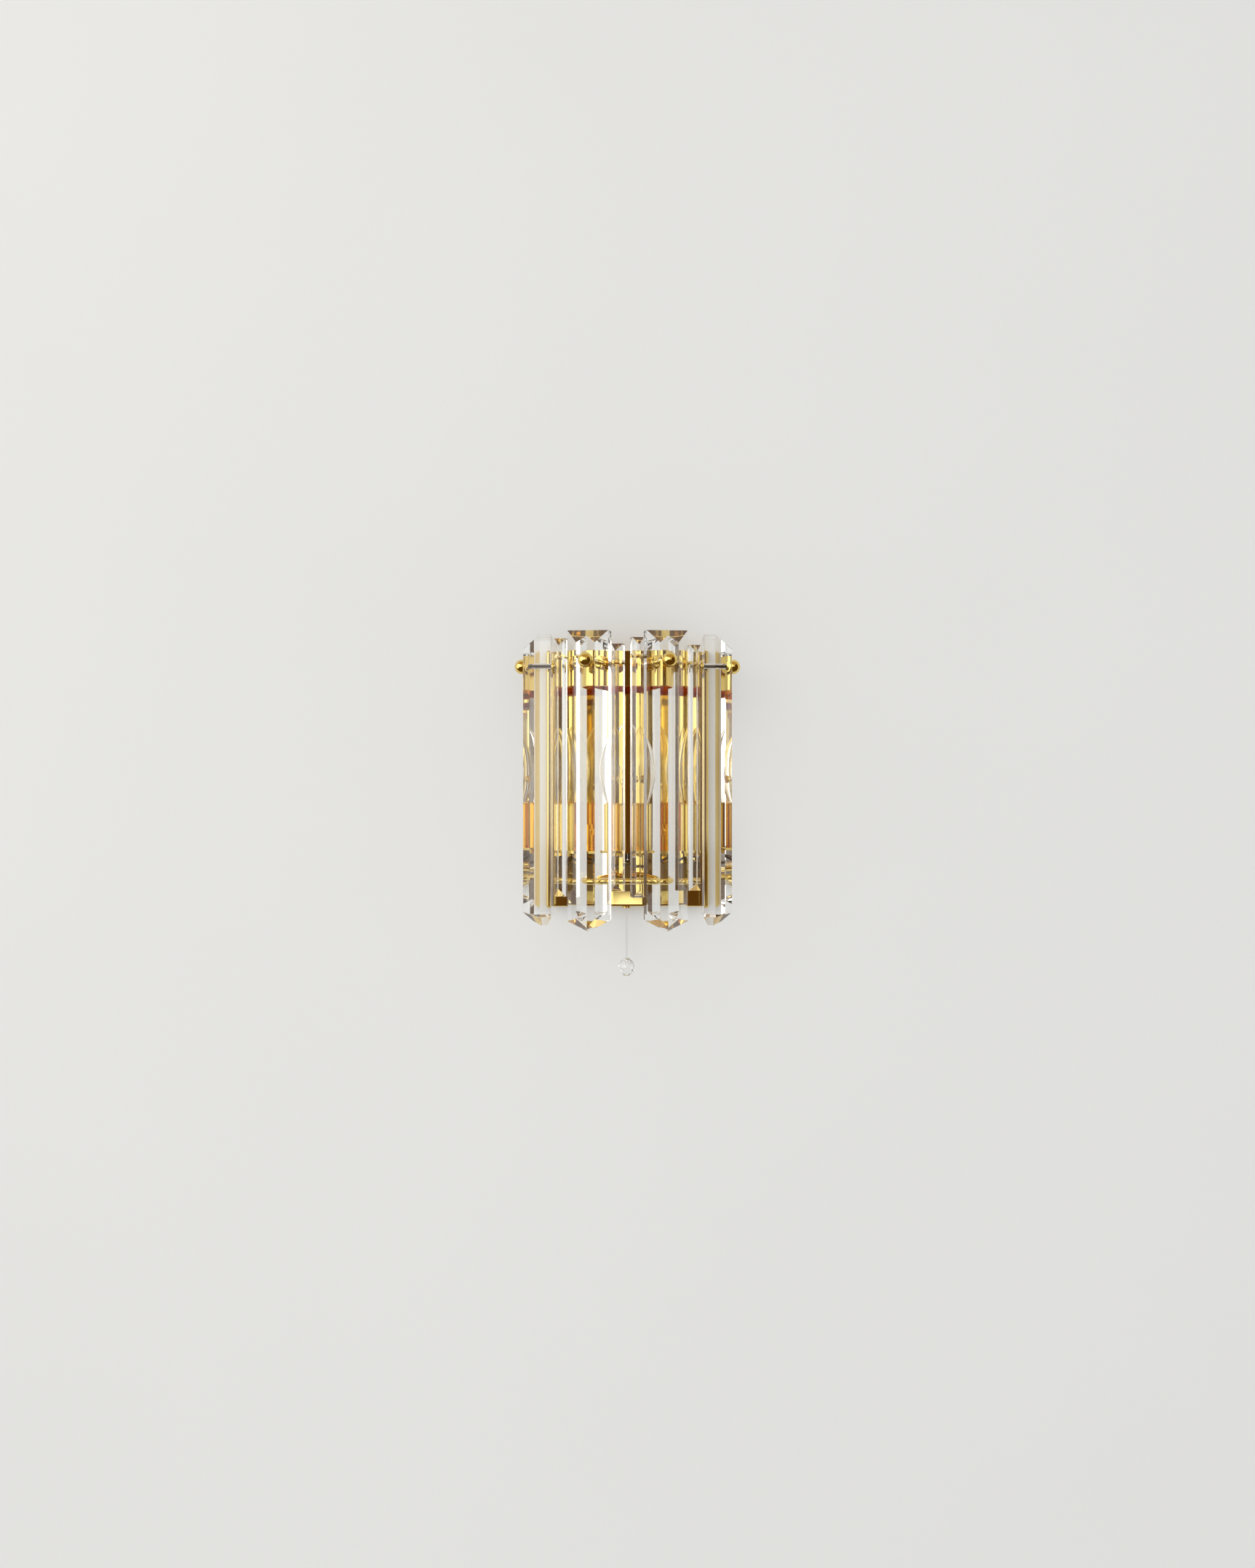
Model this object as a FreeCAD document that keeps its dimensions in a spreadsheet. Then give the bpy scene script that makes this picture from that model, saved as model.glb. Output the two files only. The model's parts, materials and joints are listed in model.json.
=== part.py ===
import FreeCAD, Part
import math
import os
import re

import Sketcher

# Crystal wall sconce, millimetres. X runs to the right, +Y into the wall, +Z up.
# The origin is the middle of the wall fixing, on the wall's surface.

SIZES = [
    # wall pan and its bracket
    ("pan_width", 130.0), ("pan_height", 214.0), ("pan_depth", 12.0), ("pan_sheet", 1.2),
    ("pan_bend", 2.0), ("bracket_length", 110.0), ("bracket_height", 22.0), ("bracket_sheet", 1.5),
    ("slot_spacing", 60.0), ("slot_length", 14.0), ("slot_width", 4.5), ("bracket_stud_spread", 46.0),
    ("fixing_radius", 1.95), ("fixing_stickout", 5.5), ("cap_nut_radius", 4.2), ("cap_nut_height", 4.5),
    # frame: an upper band of strip and a lower ring of round bar, bent to the same outside
    ("strip_sheet", 1.5), ("corner_offset", 27.1), ("corner_reach", 30.2), ("corner_depth", 31.0),
    ("band_height", 28.6), ("band_drop", 18.5), ("ring_rise", 25.0), ("ring_bar_radius", 2.5), ("ring_foot", 8.0),
    ("foot_length", 12.0), ("foot_inset", 7.0), ("screw_radius", 1.5), ("screw_head_radius", 2.8),
    ("screw_head_height", 1.8), ("screw_bite", 1.6),
    # studs, spacers and nuts that hold the large crystals
    ("stud_radius", 1.95), ("stud_above_band", 4.0), ("front_yaw", 5.5), ("side_yaw", 90.0),
    ("spacer_length", 4.7), ("spacer_radius", 5.5), ("hex_radius", 4.04), ("hex_height", 3.2),
    ("hex_backoff", 0.3), ("stud_tail", 1.2), ("ball_radius", 6.0), ("ball_gap", 0.3), ("stud_bite", 1.5),
    # large crystals: section and cut ends
    ("back_half", 17.6), ("shoulder_half", 16.3), ("slab_depth", 9.2), ("ridge_half", 7.3),
    ("ridge_depth", 23.5), ("valley_depth", 15.6), ("crystal_rise", 24.9), ("crystal_length", 237.9),
    ("facet_slope", 0.776), ("gable_slope", 0.5), ("toe_slope", 0.55), ("heel_depth", 4.0),
    ("heel_height", 8.0), ("stud_clearance", 0.3),
    # small three-sided prisms
    ("prism_back_half", 4.95), ("prism_shoulder_half", 4.65), ("prism_slab", 8.0), ("prism_ridge", 16.5),
    ("prism_rise", 14.2), ("long_prism", 206.0), ("short_prism", 196.0), ("long_pin_above_band", 9.5),
    ("short_pin_above_band", 4.3), ("inner_prism_yaw", 9.0), ("outer_prism_yaw", 6.5), ("inner_prism_seat", 6.95),
    ("outer_prism_bearing", 44.6), ("outer_prism_standoff", 6.3), ("pin_radius", 1.5), ("pin_bite", 5.0),
    ("pin_tail", 1.2),
    # lamps
    ("lamp_spread", 28.0), ("lamp_depth", 40.0), ("shelf_rise", 49.0), ("shelf_sheet", 2.0),
    ("shelf_half", 44.0), ("shelf_front", 54.0), ("shelf_neck", 14.0), ("shelf_flange", 20.0),
    ("holder_radius", 12.4), ("holder_height", 34.0), ("sleeve_radius", 13.5), ("sleeve_wall", 1.0),
    ("sleeve_height", 38.0), ("nipple_radius", 5.0), ("nipple_length", 6.0), ("holder_nut_radius", 8.0),
    ("holder_nut_height", 3.0), ("cap_radius", 7.0), ("cap_length", 22.0), ("contact_radius", 2.5),
    ("contact_length", 1.8), ("bulb_seat", 30.0), ("bulb_radius", 17.5), ("bulb_length", 76.0),
    ("bulb_wall", 0.8), ("neck_radius", 7.2), ("collar_radius", 10.0), ("collar_depth", 6.0),
    ("stem_radius", 1.6), ("stem_length", 27.0), ("wire_radius", 0.35), ("filament_height", 17.0),
    ("filament_half", 5.0),
    # pull switch, cord and bead
    ("pull_offset", -0.8), ("pull_depth", 7.8), ("switch_drop", 24.0), ("switch_width", 13.0),
    ("switch_height", 22.5), ("switch_front", 22.0), ("switch_back", 1.6), ("nozzle_radius", 3.0),
    ("nozzle_length", 3.5), ("plunger_radius", 1.2), ("plunger_length", 14.0), ("plunger_stickout", 0.8),
    ("bush_radius", 2.5), ("bush_flange", 3.6), ("bush_bore", 1.45), ("bush_lip", 1.2), ("bush_neck", 2.2),
    ("cord_radius", 0.75), ("bead_drop", 51.0), ("bead_radius", 7.45), ("bead_table", 2.2),
    # wiring
    ("terminal_width", 24.0), ("terminal_height", 17.0), ("terminal_depth", 9.6), ("terminal_level", 26.5),
    ("lead_radius", 1.2), ("lead_spread", 1.25), ("lead_depth", 6.0), ("lead_dip", 8.0),
    ("grommet_drop", 7.2),
    ("grommet_radius", 3.5), ("grommet_bore", 2.7), ("grommet_lip", 1.0), ("grommet_flange", 4.6),
    ("earth_across", 20.0), ("earth_level", 40.0), ("earth_head_radius", 3.5), ("earth_head_height", 2.0),
    # clearances
    ("fit_gap", 0.05), ("air_gap", 0.1),
]

# heights that follow the pan's height, each an expression of the sizes
LEVELS = {
    "band_level": "(pan_height / 2 - band_drop)",
    "stud_level": "(pan_height / 2 - band_drop + stud_above_band)",
    "long_pin_level": "(pan_height / 2 - band_drop + long_pin_above_band)",
    "short_pin_level": "(pan_height / 2 - band_drop + short_pin_above_band)",
    "ring_level": "(ring_rise - pan_height / 2)",
    "shelf_level": "(shelf_rise - pan_height / 2)",
    "grommet_level": "(shelf_rise - pan_height / 2 - grommet_drop)",
    "switch_level": "(shelf_rise - pan_height / 2 - switch_drop)",
    "bead_level": "(-pan_height / 2 - bead_drop)",
}

doc = FreeCAD.newDocument("crystal_sconce")
sheet = doc.addObject("Spreadsheet::Sheet", "sizes")
for row, (alias, number) in enumerate(SIZES, start=1):
    sheet.set(f"A{row}", str(number))
    sheet.setAlias(f"A{row}", alias)
doc.recompute()

X_AXIS = FreeCAD.Vector(1, 0, 0)
Z_AXIS = FreeCAD.Vector(0, 0, 1)
nodes = []


ALIAS = re.compile(r"\b(" + "|".join(alias for alias, _ in SIZES) + r")\b")
LEVEL = re.compile(r"\b(" + "|".join(LEVELS) + r")\b")


def named(text):
    """Turn the names of levels and sizes in an expression into references to the sheet."""
    return ALIAS.sub(r"sizes.\1", LEVEL.sub(lambda found: LEVELS[found[0]], str(text)))


def value(name):
    """The plain number of a size, a level or an expression of them."""
    return float(sheet.evalExpression(named(name)))


def bind(thing, **expressions):
    """Bind properties to expressions of the sheet's sizes."""
    for name, text in expressions.items():
        thing.setExpression(name.replace("__", "."), named(text))
    return thing


def keep(thing, label):
    """Give a finished sub-part its label and list it for export."""
    thing.Label = label
    nodes.append(thing)
    return thing


def place(thing, across="0", inward="0", up="0", turn=None, axis=Z_AXIS):
    """Bind a placement: across is X, inward is Y, up is Z, and turn an angle about axis."""
    angle = 0 if turn is None else 1
    thing.Placement = FreeCAD.Placement(FreeCAD.Vector(), FreeCAD.Rotation(axis, angle))
    bind(thing, Placement__Base__x=across, Placement__Base__y=inward, Placement__Base__z=up)
    if turn is not None:
        bind(thing, Placement__Rotation__Angle=turn)
    return thing


def seat(thing, side, yaw, reach, level):
    """Place a thing on a ray from a corner's centre: yaw turns outward from straight ahead."""
    across = f"{side} * (corner_offset + ({reach}) * sin({yaw}))"
    inward = f"-(corner_depth + ({reach}) * cos({yaw}))"
    if side < 0:
        return place(thing, across, inward, level, yaw, -Z_AXIS)
    return place(thing, across, inward, level, yaw, Z_AXIS)


# ---- small makers -------------------------------------------------------------------------


def box(x0, x1, y0, y1, z0, z1):
    """A box between bound limits."""
    block = doc.addObject("Part::Box", "block")
    bind(block, Length=f"({x1}) - ({x0})", Width=f"({y1}) - ({y0})", Height=f"({z1}) - ({z0})")
    return place(block, x0, y0, z0)


def upright(radius, x, y, z0, z1):
    """A cylinder that stands along Z."""
    post = doc.addObject("Part::Cylinder", "post")
    bind(post, Radius=radius, Height=f"({z1}) - ({z0})")
    return place(post, x, y, z0)


def forward(radius, x, z, y0, y1):
    """A cylinder along Y from y0 forward to y1, which is the more negative."""
    pin = doc.addObject("Part::Cylinder", "pin")
    bind(pin, Radius=radius, Height=f"({y0}) - ({y1})")
    pin.Placement = FreeCAD.Placement(FreeCAD.Vector(), FreeCAD.Rotation(X_AXIS, 90))
    return bind(pin, Placement__Base__x=x, Placement__Base__y=y0, Placement__Base__z=z)


def fuse(*things):
    union = doc.addObject("Part::MultiFuse", "union")
    union.Shapes = list(things)
    union.Refine = True
    return union


def cut(base, *tools):
    hollow = doc.addObject("Part::Cut", "hollow")
    hollow.Base = base
    hollow.Tool = tools[0] if len(tools) == 1 else fuse(*tools)
    return hollow


def group(*things):
    bundle = doc.addObject("Part::Compound", "bundle")
    bundle.Links = list(things)
    return bundle


def make_body():
    return doc.addObject("PartDesign::Body", "body")


def plane_of(body, role):
    return next(f for f in body.Origin.OriginFeatures if f.Role == role)


def new_sketch(body, role, offset="0"):
    sketch = body.newObject("Sketcher::SketchObject", "sketch")
    sketch.AttachmentSupport = [(plane_of(body, role), "")]
    sketch.MapMode = "FlatFace"
    bind(sketch, AttachmentOffset__Base__z=offset)
    return sketch


def polygon(body, role, corners, offset="0"):
    """A closed outline whose corners are pairs of expressions."""
    sketch = new_sketch(body, role, offset)
    exact = [[named(text) for text in corner] for corner in corners]
    points = [FreeCAD.Vector(*[float(sketch.evalExpression(t)) for t in pair], 0) for pair in exact]
    count = len(points)
    for i in range(count):
        sketch.addGeometry(Part.LineSegment(points[i], points[(i + 1) % count]), False)
    for i in range(count):
        sketch.addConstraint(Sketcher.Constraint("Coincident", i, 2, (i + 1) % count, 1))
    for i in range(count):
        for kind, number, text in zip(("DistanceX", "DistanceY"), points[i], exact[i]):
            index = sketch.addConstraint(Sketcher.Constraint(kind, -1, 1, i, 1, number))
            sketch.setExpression(f"Constraints[{index}]", text)
    return sketch


def pad(body, sketch, length):
    raised = body.newObject("PartDesign::Pad", "pad")
    raised.Profile = sketch
    return bind(raised, Length=length)


def pocket(body, sketch):
    """Cut right through the body, both ways from the sketch."""
    sunk = body.newObject("PartDesign::Pocket", "pocket")
    sunk.Profile = sketch
    sunk.Type = "ThroughAll"
    sunk.Midplane = True
    return sunk


def revolve(body, sketch):
    """Turn a profile drawn in XZ about the upright axis."""
    turned = body.newObject("PartDesign::Revolution", "turned")
    turned.Profile = sketch
    turned.ReferenceAxis = (sketch, ["V_Axis"])
    turned.Angle = 360
    return turned


def turned_profile(corners):
    body = make_body()
    revolve(body, polygon(body, "XZ_Plane", corners))
    return body


def primitive(body, kind, start, **sizes):
    """A primitive of the body that starts at the given distance forward of its XZ plane."""
    piece = body.newObject(f"PartDesign::{kind}", "piece")
    piece.AttachmentSupport = [(plane_of(body, "XZ_Plane"), "")]
    piece.MapMode = "FlatFace"
    bind(piece, AttachmentOffset__Base__z=start, **sizes)
    return piece


def rod(radius, start, end):
    """A round bar along the seat's own forward axis."""
    body = make_body()
    primitive(body, "AdditiveCylinder", start, Radius=radius, Height=f"({end}) - ({start})")
    return body


def drill(body, radius, start, end):
    primitive(body, "SubtractiveCylinder", start, Radius=radius, Height=f"({end}) - ({start})")
    return body


# ---- seats: where the crystals and prisms stand ---------------------------------------------

CRYSTAL_REACH = "corner_reach + spacer_length"
CRYSTALS = [
    ("front_left", -1, "front_yaw"),
    ("front_right", 1, "front_yaw"),
    ("side_left", -1, "side_yaw"),
    ("side_right", 1, "side_yaw"),
]


def at_crystal(thing, side, yaw):
    return seat(thing, side, yaw, CRYSTAL_REACH, "stud_level")


OUTER_X = "((corner_reach + outer_prism_standoff) * sin(outer_prism_bearing))"
OUTER_Y = "((corner_reach + outer_prism_standoff) * cos(outer_prism_bearing))"
# distance back along the pin from the outer prism's seat to the inside of the bent strip
ALONG = f"({OUTER_X} * sin(outer_prism_yaw) + {OUTER_Y} * cos(outer_prism_yaw))"
INSIDE = "(corner_reach - strip_sheet)"
OUTER_TAIL = f"({ALONG} - sqrt({ALONG}^2 - {OUTER_X}^2 - {OUTER_Y}^2 + {INSIDE}^2) + pin_tail)"
INNER_TAIL = "((spacer_length + strip_sheet) / cos(inner_prism_yaw) + pin_tail)"
PRISMS = [
    ("outer_left", -1, "outer", "long"),
    ("inner_left", -1, "inner", "short"),
    ("inner_right", 1, "inner", "long"),
    ("outer_right", 1, "outer", "short"),
]


def at_prism(thing, side, ring, length):
    """Place a thing at a small prism's seat, with its pin's level as the origin."""
    yaw = f"{ring}_prism_yaw"
    if ring == "inner":
        across, depth = "inner_prism_seat", "corner_depth + corner_reach + spacer_length"
    else:
        across, depth = f"corner_offset + {OUTER_X}", f"corner_depth + {OUTER_Y}"
    axis = Z_AXIS if side > 0 else -Z_AXIS
    return place(thing, f"{side} * ({across})", f"-({depth})", f"{length}_pin_level", yaw, axis)


# ---- crystals ---------------------------------------------------------------------------


def section(body, half_back, half_shoulder, slab, front, bottom):
    """Flat back, side faces that lean in to the shoulders, then the ridged front."""
    right = [(f"{half_back}", "0"), (f"{half_shoulder}", f"-{slab}")]
    left = [(f"-{half_shoulder}", f"-{slab}"), (f"-{half_back}", "0")]
    return polygon(body, "XY_Plane", right + front + left, bottom)


def top_facet(body, shoulder, top):
    """The slanted facet of the head: high at the shoulders, low at the ridges."""
    reach = "(2 * ridge_depth)"
    corners = [
        (f"-{shoulder}", f"{top}"),
        (f"-{shoulder} - {reach}", f"{top} - facet_slope * {reach}"),
        (f"-{shoulder} - {reach}", f"{top} + 1"),
        (f"-{shoulder}", f"{top} + 1"),
    ]
    pocket(body, polygon(body, "YZ_Plane", corners))


def make_crystal(side, yaw):
    """A large crystal, its origin on the stud's axis at the flat back."""
    body = make_body()
    tip = "(crystal_rise - crystal_length)"
    front = [("ridge_half", "-ridge_depth"), ("0", "-valley_depth"), ("-ridge_half", "-ridge_depth")]
    outline = section(body, "back_half", "shoulder_half", "slab_depth", front, tip)
    pad(body, outline, "crystal_length")
    top_facet(body, "slab_depth", "crystal_rise")
    # gabled foot: two planes that meet in a level edge under the slab
    wide, deep = "(2 * back_half)", "(crystal_length / 2)"
    gable = [
        ("0", tip),
        (wide, f"{tip} + gable_slope * {wide}"),
        (wide, f"{tip} - {deep}"),
        (f"-{wide}", f"{tip} - {deep}"),
        (f"-{wide}", f"{tip} + gable_slope * {wide}"),
    ]
    pocket(body, polygon(body, "XZ_Plane", gable))
    # the front of the foot rises towards the ridges: the same gable, swept forward and up
    doc.recompute()
    sweep = body.newObject("PartDesign::Pocket", "toe")
    sweep.Profile = polygon(body, "XZ_Plane", gable, "slab_depth")
    sweep.Type = "Length"
    sweep.AlongSketchNormal = False
    sweep.UseCustomVector = True
    sweep.Direction = FreeCAD.Vector(0, -1, value("toe_slope"))
    bind(sweep, Length="2 * ridge_depth * sqrt(1 + toe_slope^2)", Direction__z="toe_slope")
    # heel: the back edge of the foot is bevelled off
    heel = [
        ("-heel_depth", tip),
        ("1", f"{tip} + heel_height * (1 + 1 / heel_depth)"),
        ("1", f"{tip} - 1"),
        ("-heel_depth", f"{tip} - 1"),
    ]
    pocket(body, polygon(body, "YZ_Plane", heel))
    drill(body, "stud_radius + stud_clearance", "-1", "ridge_depth + 1")
    return at_crystal(body, side, yaw)


def make_prism(side, ring, length):
    """A small three-sided prism with a blind hole in its flat back for its pin."""
    body = make_body()
    foot = f"(prism_rise - {length}_prism)"
    rise = "(facet_slope * (prism_ridge - prism_slab))"
    front = [("0", "-prism_ridge")]
    outline = section(body, "prism_back_half", "prism_shoulder_half", "prism_slab", front, foot)
    pad(body, outline, f"{length}_prism")
    top_facet(body, "prism_slab", "prism_rise")
    toe = [
        ("-prism_slab", foot),
        (f"-prism_ridge", f"{foot} + {rise}"),
        (f"-prism_ridge - prism_slab", f"{foot} + {rise}"),
        (f"-prism_ridge - prism_slab", f"{foot} - 1"),
        ("-prism_slab", f"{foot} - 1"),
    ]
    pocket(body, polygon(body, "YZ_Plane", toe))
    drill(body, "pin_radius + fit_gap", "-1", "pin_bite + air_gap")
    return at_prism(body, side, ring, length)


# ---- frame ------------------------------------------------------------------------------


def strip_plan(reach, low, high, back):
    """A solid with the strip's plan: straight sides, round corners and a flat front."""
    sides = box(f"-(corner_offset + {reach})", f"corner_offset + {reach}", "-corner_depth", back, low, high)
    front = box("-corner_offset", "corner_offset", f"-(corner_depth + {reach})", "-corner_depth", low, high)
    corners = [upright(reach, f"{side} * corner_offset", "-corner_depth", low, high) for side in (-1, 1)]
    return fuse(sides, front, *corners)


def bent_strip(level, height):
    """A sheet-metal strip bent to the plan, with two feet that lie on the wall pan."""
    low, high = f"{level} - {height} / 2", f"{level} + {height} / 2"
    outer = strip_plan("corner_reach", low, high, "-pan_depth")
    inner = strip_plan("(corner_reach - strip_sheet)", f"{low} - 1", f"{high} + 1", "-pan_depth + 1")
    # the corners of the plan reach behind the pan's face, so they are trimmed there
    spare = box("-pan_width", "pan_width", "-pan_depth", "pan_depth", f"{low} - 2", f"{high} + 2")
    wall = cut(outer, inner, spare)
    inside = "(corner_offset + corner_reach - strip_sheet)"
    feet = []
    for side in (-1, 1):
        near, far = f"{inside} - foot_length", f"{inside}"
        x0, x1 = (near, far) if side > 0 else (f"-({far})", f"-({near})")
        feet.append(box(x0, x1, "-(pan_depth + strip_sheet)", "-pan_depth", low, high))
    return fuse(wall, *feet)


def bent_bar():
    """A round bar bent to the plan, its two ends pressed flat into feet that lie on the wall pan."""
    middle, reach, level = value("corner_offset"), value("corner_reach - ring_bar_radius"), value("ring_level")
    face, depth, diagonal = -value("pan_depth"), -value("corner_depth"), reach * math.sqrt(0.5)
    half = [(middle + reach, face), (middle + reach, depth), (middle + diagonal, depth - diagonal),
            (middle, depth - reach)]
    right = [FreeCAD.Vector(x, y, level) for x, y in half]
    left = [FreeCAD.Vector(-x, y, level) for x, y in half]
    path = Part.Wire([
        Part.LineSegment(left[0], left[1]).toShape(), Part.Arc(*left[1:]).toShape(),
        Part.LineSegment(left[3], right[3]).toShape(), Part.Arc(*right[:0:-1]).toShape(),
        Part.LineSegment(right[1], right[0]).toShape(),
    ])
    ring = Part.Wire(Part.makeCircle(value("ring_bar_radius"), left[0], left[1] - left[0]))
    bar = doc.addObject("Part::Feature", "bar")
    bar.Shape = path.makePipeShell([ring], True, False)
    far = "corner_offset + corner_reach"
    near = f"{far} - ring_bar_radius - foot_length"
    limits = ("-(pan_depth + strip_sheet)", "-pan_depth",
              "ring_level - ring_foot / 2", "ring_level + ring_foot / 2")
    return fuse(bar, box(near, far, *limits), box(f"-({far})", f"-({near})", *limits))


FOOT_X = "(corner_offset + corner_reach - strip_sheet - foot_inset)"
SHELF_SCREW_X, SHELF_SCREW_Z = "(shelf_neck - 5)", "(shelf_level + shelf_flange - 6)"
SCREWS = [(f"{side} * {FOOT_X}", level, "strip_sheet")
          for level in ("band_level", "ring_level") for side in (-1, 1)]
SCREWS += [(f"{side} * {SHELF_SCREW_X}", SHELF_SCREW_Z, "shelf_sheet") for side in (-1, 1)]


def screw_holes():
    """Clearance holes for the frame screws, through the feet and the pan."""
    return [forward("screw_radius + fit_gap", x, z, "0", "-pan_depth - 5") for x, z, _ in SCREWS]


def make_frame():
    studs = [at_crystal(rod("stud_radius + fit_gap", "-20", "1"), side, yaw) for _, side, yaw in CRYSTALS]
    pins = [at_prism(rod("pin_radius + fit_gap", "-20", "1"), side, ring, length)
            for _, side, ring, length in PRISMS]
    keep(cut(bent_strip("band_level", "band_height"), *studs, *pins, *screw_holes()), "upper_band")
    keep(cut(bent_bar(), *screw_holes()), "lower_ring")
    screws = []
    for x, z, sheet_name in SCREWS:
        seat_y = f"-(pan_depth + {sheet_name})"
        head = forward("screw_head_radius", x, z, seat_y, f"{seat_y} - screw_head_height")
        inner_end = "-(pan_depth - pan_sheet - screw_bite)"
        shank = forward("screw_radius", x, z, inner_end, f"{seat_y} - screw_head_height / 2")
        screws.append(fuse(head, shank))
    keep(group(*screws), "frame_screws")


# ---- wall pan ---------------------------------------------------------------------------


def make_pan():
    """A shallow tray of polished sheet, open to the wall."""
    body = make_body()
    half_w, half_h = "pan_width / 2", "pan_height / 2"
    rectangle = [(f"-{half_w}", f"-{half_h}"), (half_w, f"-{half_h}"), (half_w, half_h), (f"-{half_w}", half_h)]
    pad(body, polygon(body, "XZ_Plane", rectangle), "pan_depth")
    doc.recompute()
    bend = body.newObject("PartDesign::Fillet", "bend")
    shape = body.Shape
    face_y = shape.BoundBox.YMin
    # every edge of the front face, and the four that run back from its corners
    bent = [f"Edge{i}" for i, edge in enumerate(shape.Edges, 1) if edge.BoundBox.YMin < face_y + 1e-3]
    bend.Base = (body.Tip if body.Tip != bend else bend.BaseFeature, bent)
    bind(bend, Radius="pan_bend")
    inner_w, inner_h = "pan_width / 2 - pan_sheet", "pan_height / 2 - pan_sheet"
    hollow = box(f"-({inner_w})", inner_w, "-(pan_depth - pan_sheet)", "1", f"-({inner_h})", inner_h)
    through = ("0", "-pan_depth - 1")
    fixings = [forward("fixing_radius + fit_gap", f"{side} * bracket_stud_spread", "0", *through)
               for side in (-1, 1)]
    grommet = forward("grommet_radius + fit_gap", "0", "grommet_level", *through)
    earth = forward("fixing_radius + fit_gap", "earth_across", "earth_level", *through)
    half_slot_x, half_slot_z = "(switch_width / 2 + air_gap)", "(switch_height / 2 + air_gap)"
    slot = box(f"pull_offset - {half_slot_x}", f"pull_offset + {half_slot_x}", "-pan_depth - 1", "0",
               f"switch_level - {half_slot_z}", f"switch_level + {half_slot_z}")
    bush = upright("bush_radius + fit_gap", "pull_offset", "-pull_depth", "-pan_height / 2 - 1",
                   "-pan_height / 2 + pan_sheet + 1")
    keep(cut(body, hollow, *fixings, *screw_holes(), grommet, earth, slot, bush), "back_pan")


def make_fixings():
    """The steel bracket that is screwed to the wall, its studs and the cap nuts on the pan."""
    half_l, half_h = "bracket_length / 2", "bracket_height / 2"
    strip = box(f"-{half_l}", half_l, "-bracket_sheet", "0", f"-{half_h}", half_h)
    holes = []
    straight = "(slot_length / 2 - slot_width / 2)"
    for side in (-1, 1):
        middle = f"{side} * slot_spacing / 2"
        holes.append(forward("fixing_radius + fit_gap", f"{side} * bracket_stud_spread", "0", "1",
                             "-bracket_sheet - 1"))
        holes.append(box(f"{middle} - {straight}", f"{middle} + {straight}", "-bracket_sheet - 1", "1",
                         "-slot_width / 2", "slot_width / 2"))
        for end in (-1, 1):
            holes.append(forward("slot_width / 2", f"{middle} + {end} * {straight}", "0", "1", "-bracket_sheet - 1"))
    keep(cut(strip, *holes), "wall_bracket")
    stud_end = "-(pan_depth + fixing_stickout)"
    studs = [forward("fixing_radius", f"{side} * bracket_stud_spread", "0", "0", stud_end) for side in (-1, 1)]
    keep(group(*studs), "bracket_studs")
    nuts = []
    for side in (-1, 1):
        nut = make_body()
        primitive(nut, "AdditivePrism", "0", Circumradius="cap_nut_radius", Height="cap_nut_height")
        primitive(nut, "AdditiveSphere", "cap_nut_height", Radius="cap_nut_radius * 0.8")
        drill(nut, "fixing_radius + fit_gap", "-10", "fixing_stickout + air_gap")
        nuts.append(place(nut, f"{side} * bracket_stud_spread", "-pan_depth", "0"))
    keep(group(*nuts), "cap_nuts")


# ---- studs, spacers, nuts and pins ------------------------------------------------------

BAND_INSIDE = "(-(spacer_length + strip_sheet))"
BALL_REACH = "(valley_depth + (ball_radius + ball_gap) * sqrt(1 + ((ridge_depth - valley_depth) / ridge_half)^2))"


def make_crystal_fixings():
    spacers, studs, nuts = [], [], []
    for label, side, yaw in CRYSTALS:
        spacer = rod("spacer_radius", "-spacer_length", "0")
        drill(spacer, "stud_radius + fit_gap", "-spacer_length - 1", "1")
        spacers.append(at_crystal(spacer, side, yaw))
        tail = f"{BAND_INSIDE} - hex_backoff - hex_height"
        studs.append(at_crystal(rod("stud_radius", f"{tail} - stud_tail", f"{BALL_REACH} + stud_bite"), side, yaw))
        nut = make_body()
        primitive(nut, "AdditivePrism", tail, Circumradius="hex_radius", Height="hex_height")
        nuts.append(at_crystal(drill(nut, "stud_radius + fit_gap", f"{tail} - 1", "0"), side, yaw))
        ball = make_body()
        primitive(ball, "AdditiveSphere", BALL_REACH, Radius="ball_radius")
        drill(ball, "stud_radius + fit_gap", f"{BALL_REACH} - ball_radius - 1",
              f"{BALL_REACH} + stud_bite + air_gap")
        keep(at_crystal(ball, side, yaw), f"ball_nut_{label}")
    keep(group(*spacers), "crystal_spacers")
    keep(group(*studs), "crystal_studs")
    keep(group(*nuts), "stud_nuts")
    pins = []
    for label, side, ring, length in PRISMS:
        tail = INNER_TAIL if ring == "inner" else OUTER_TAIL
        pins.append(at_prism(rod("pin_radius", f"-{tail}", "pin_bite"), side, ring, length))
    keep(group(*pins), "prism_pins")


# ---- lamps ------------------------------------------------------------------------------


def make_shelf():
    """The sheet that carries the lampholders, with a neck and a flange on the wall pan."""
    body = make_body()
    right = [
        ("shelf_neck", "-pan_depth"), ("shelf_neck", "-(pan_depth + shelf_neck)"),
        ("shelf_half", "-(lamp_depth - holder_radius)"), ("shelf_half", "-(lamp_depth + holder_radius / 2)"),
        ("lamp_spread", "-shelf_front"),
    ]
    left = [(f"-{x}", y) for x, y in reversed(right)]
    pad(body, polygon(body, "XY_Plane", right + left, "shelf_level - shelf_sheet"), "shelf_sheet")
    flange = box("-shelf_neck", "shelf_neck", "-(pan_depth + shelf_sheet)", "-pan_depth",
                 "shelf_level - shelf_sheet", "shelf_level + shelf_flange")
    holes = [upright("nipple_radius + fit_gap", f"{side} * lamp_spread", "-lamp_depth", "shelf_level - 5",
                     "shelf_level + 5") for side in (-1, 1)]
    keep(cut(fuse(body, flange), *holes, *screw_holes()), "lamp_shelf")


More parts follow.
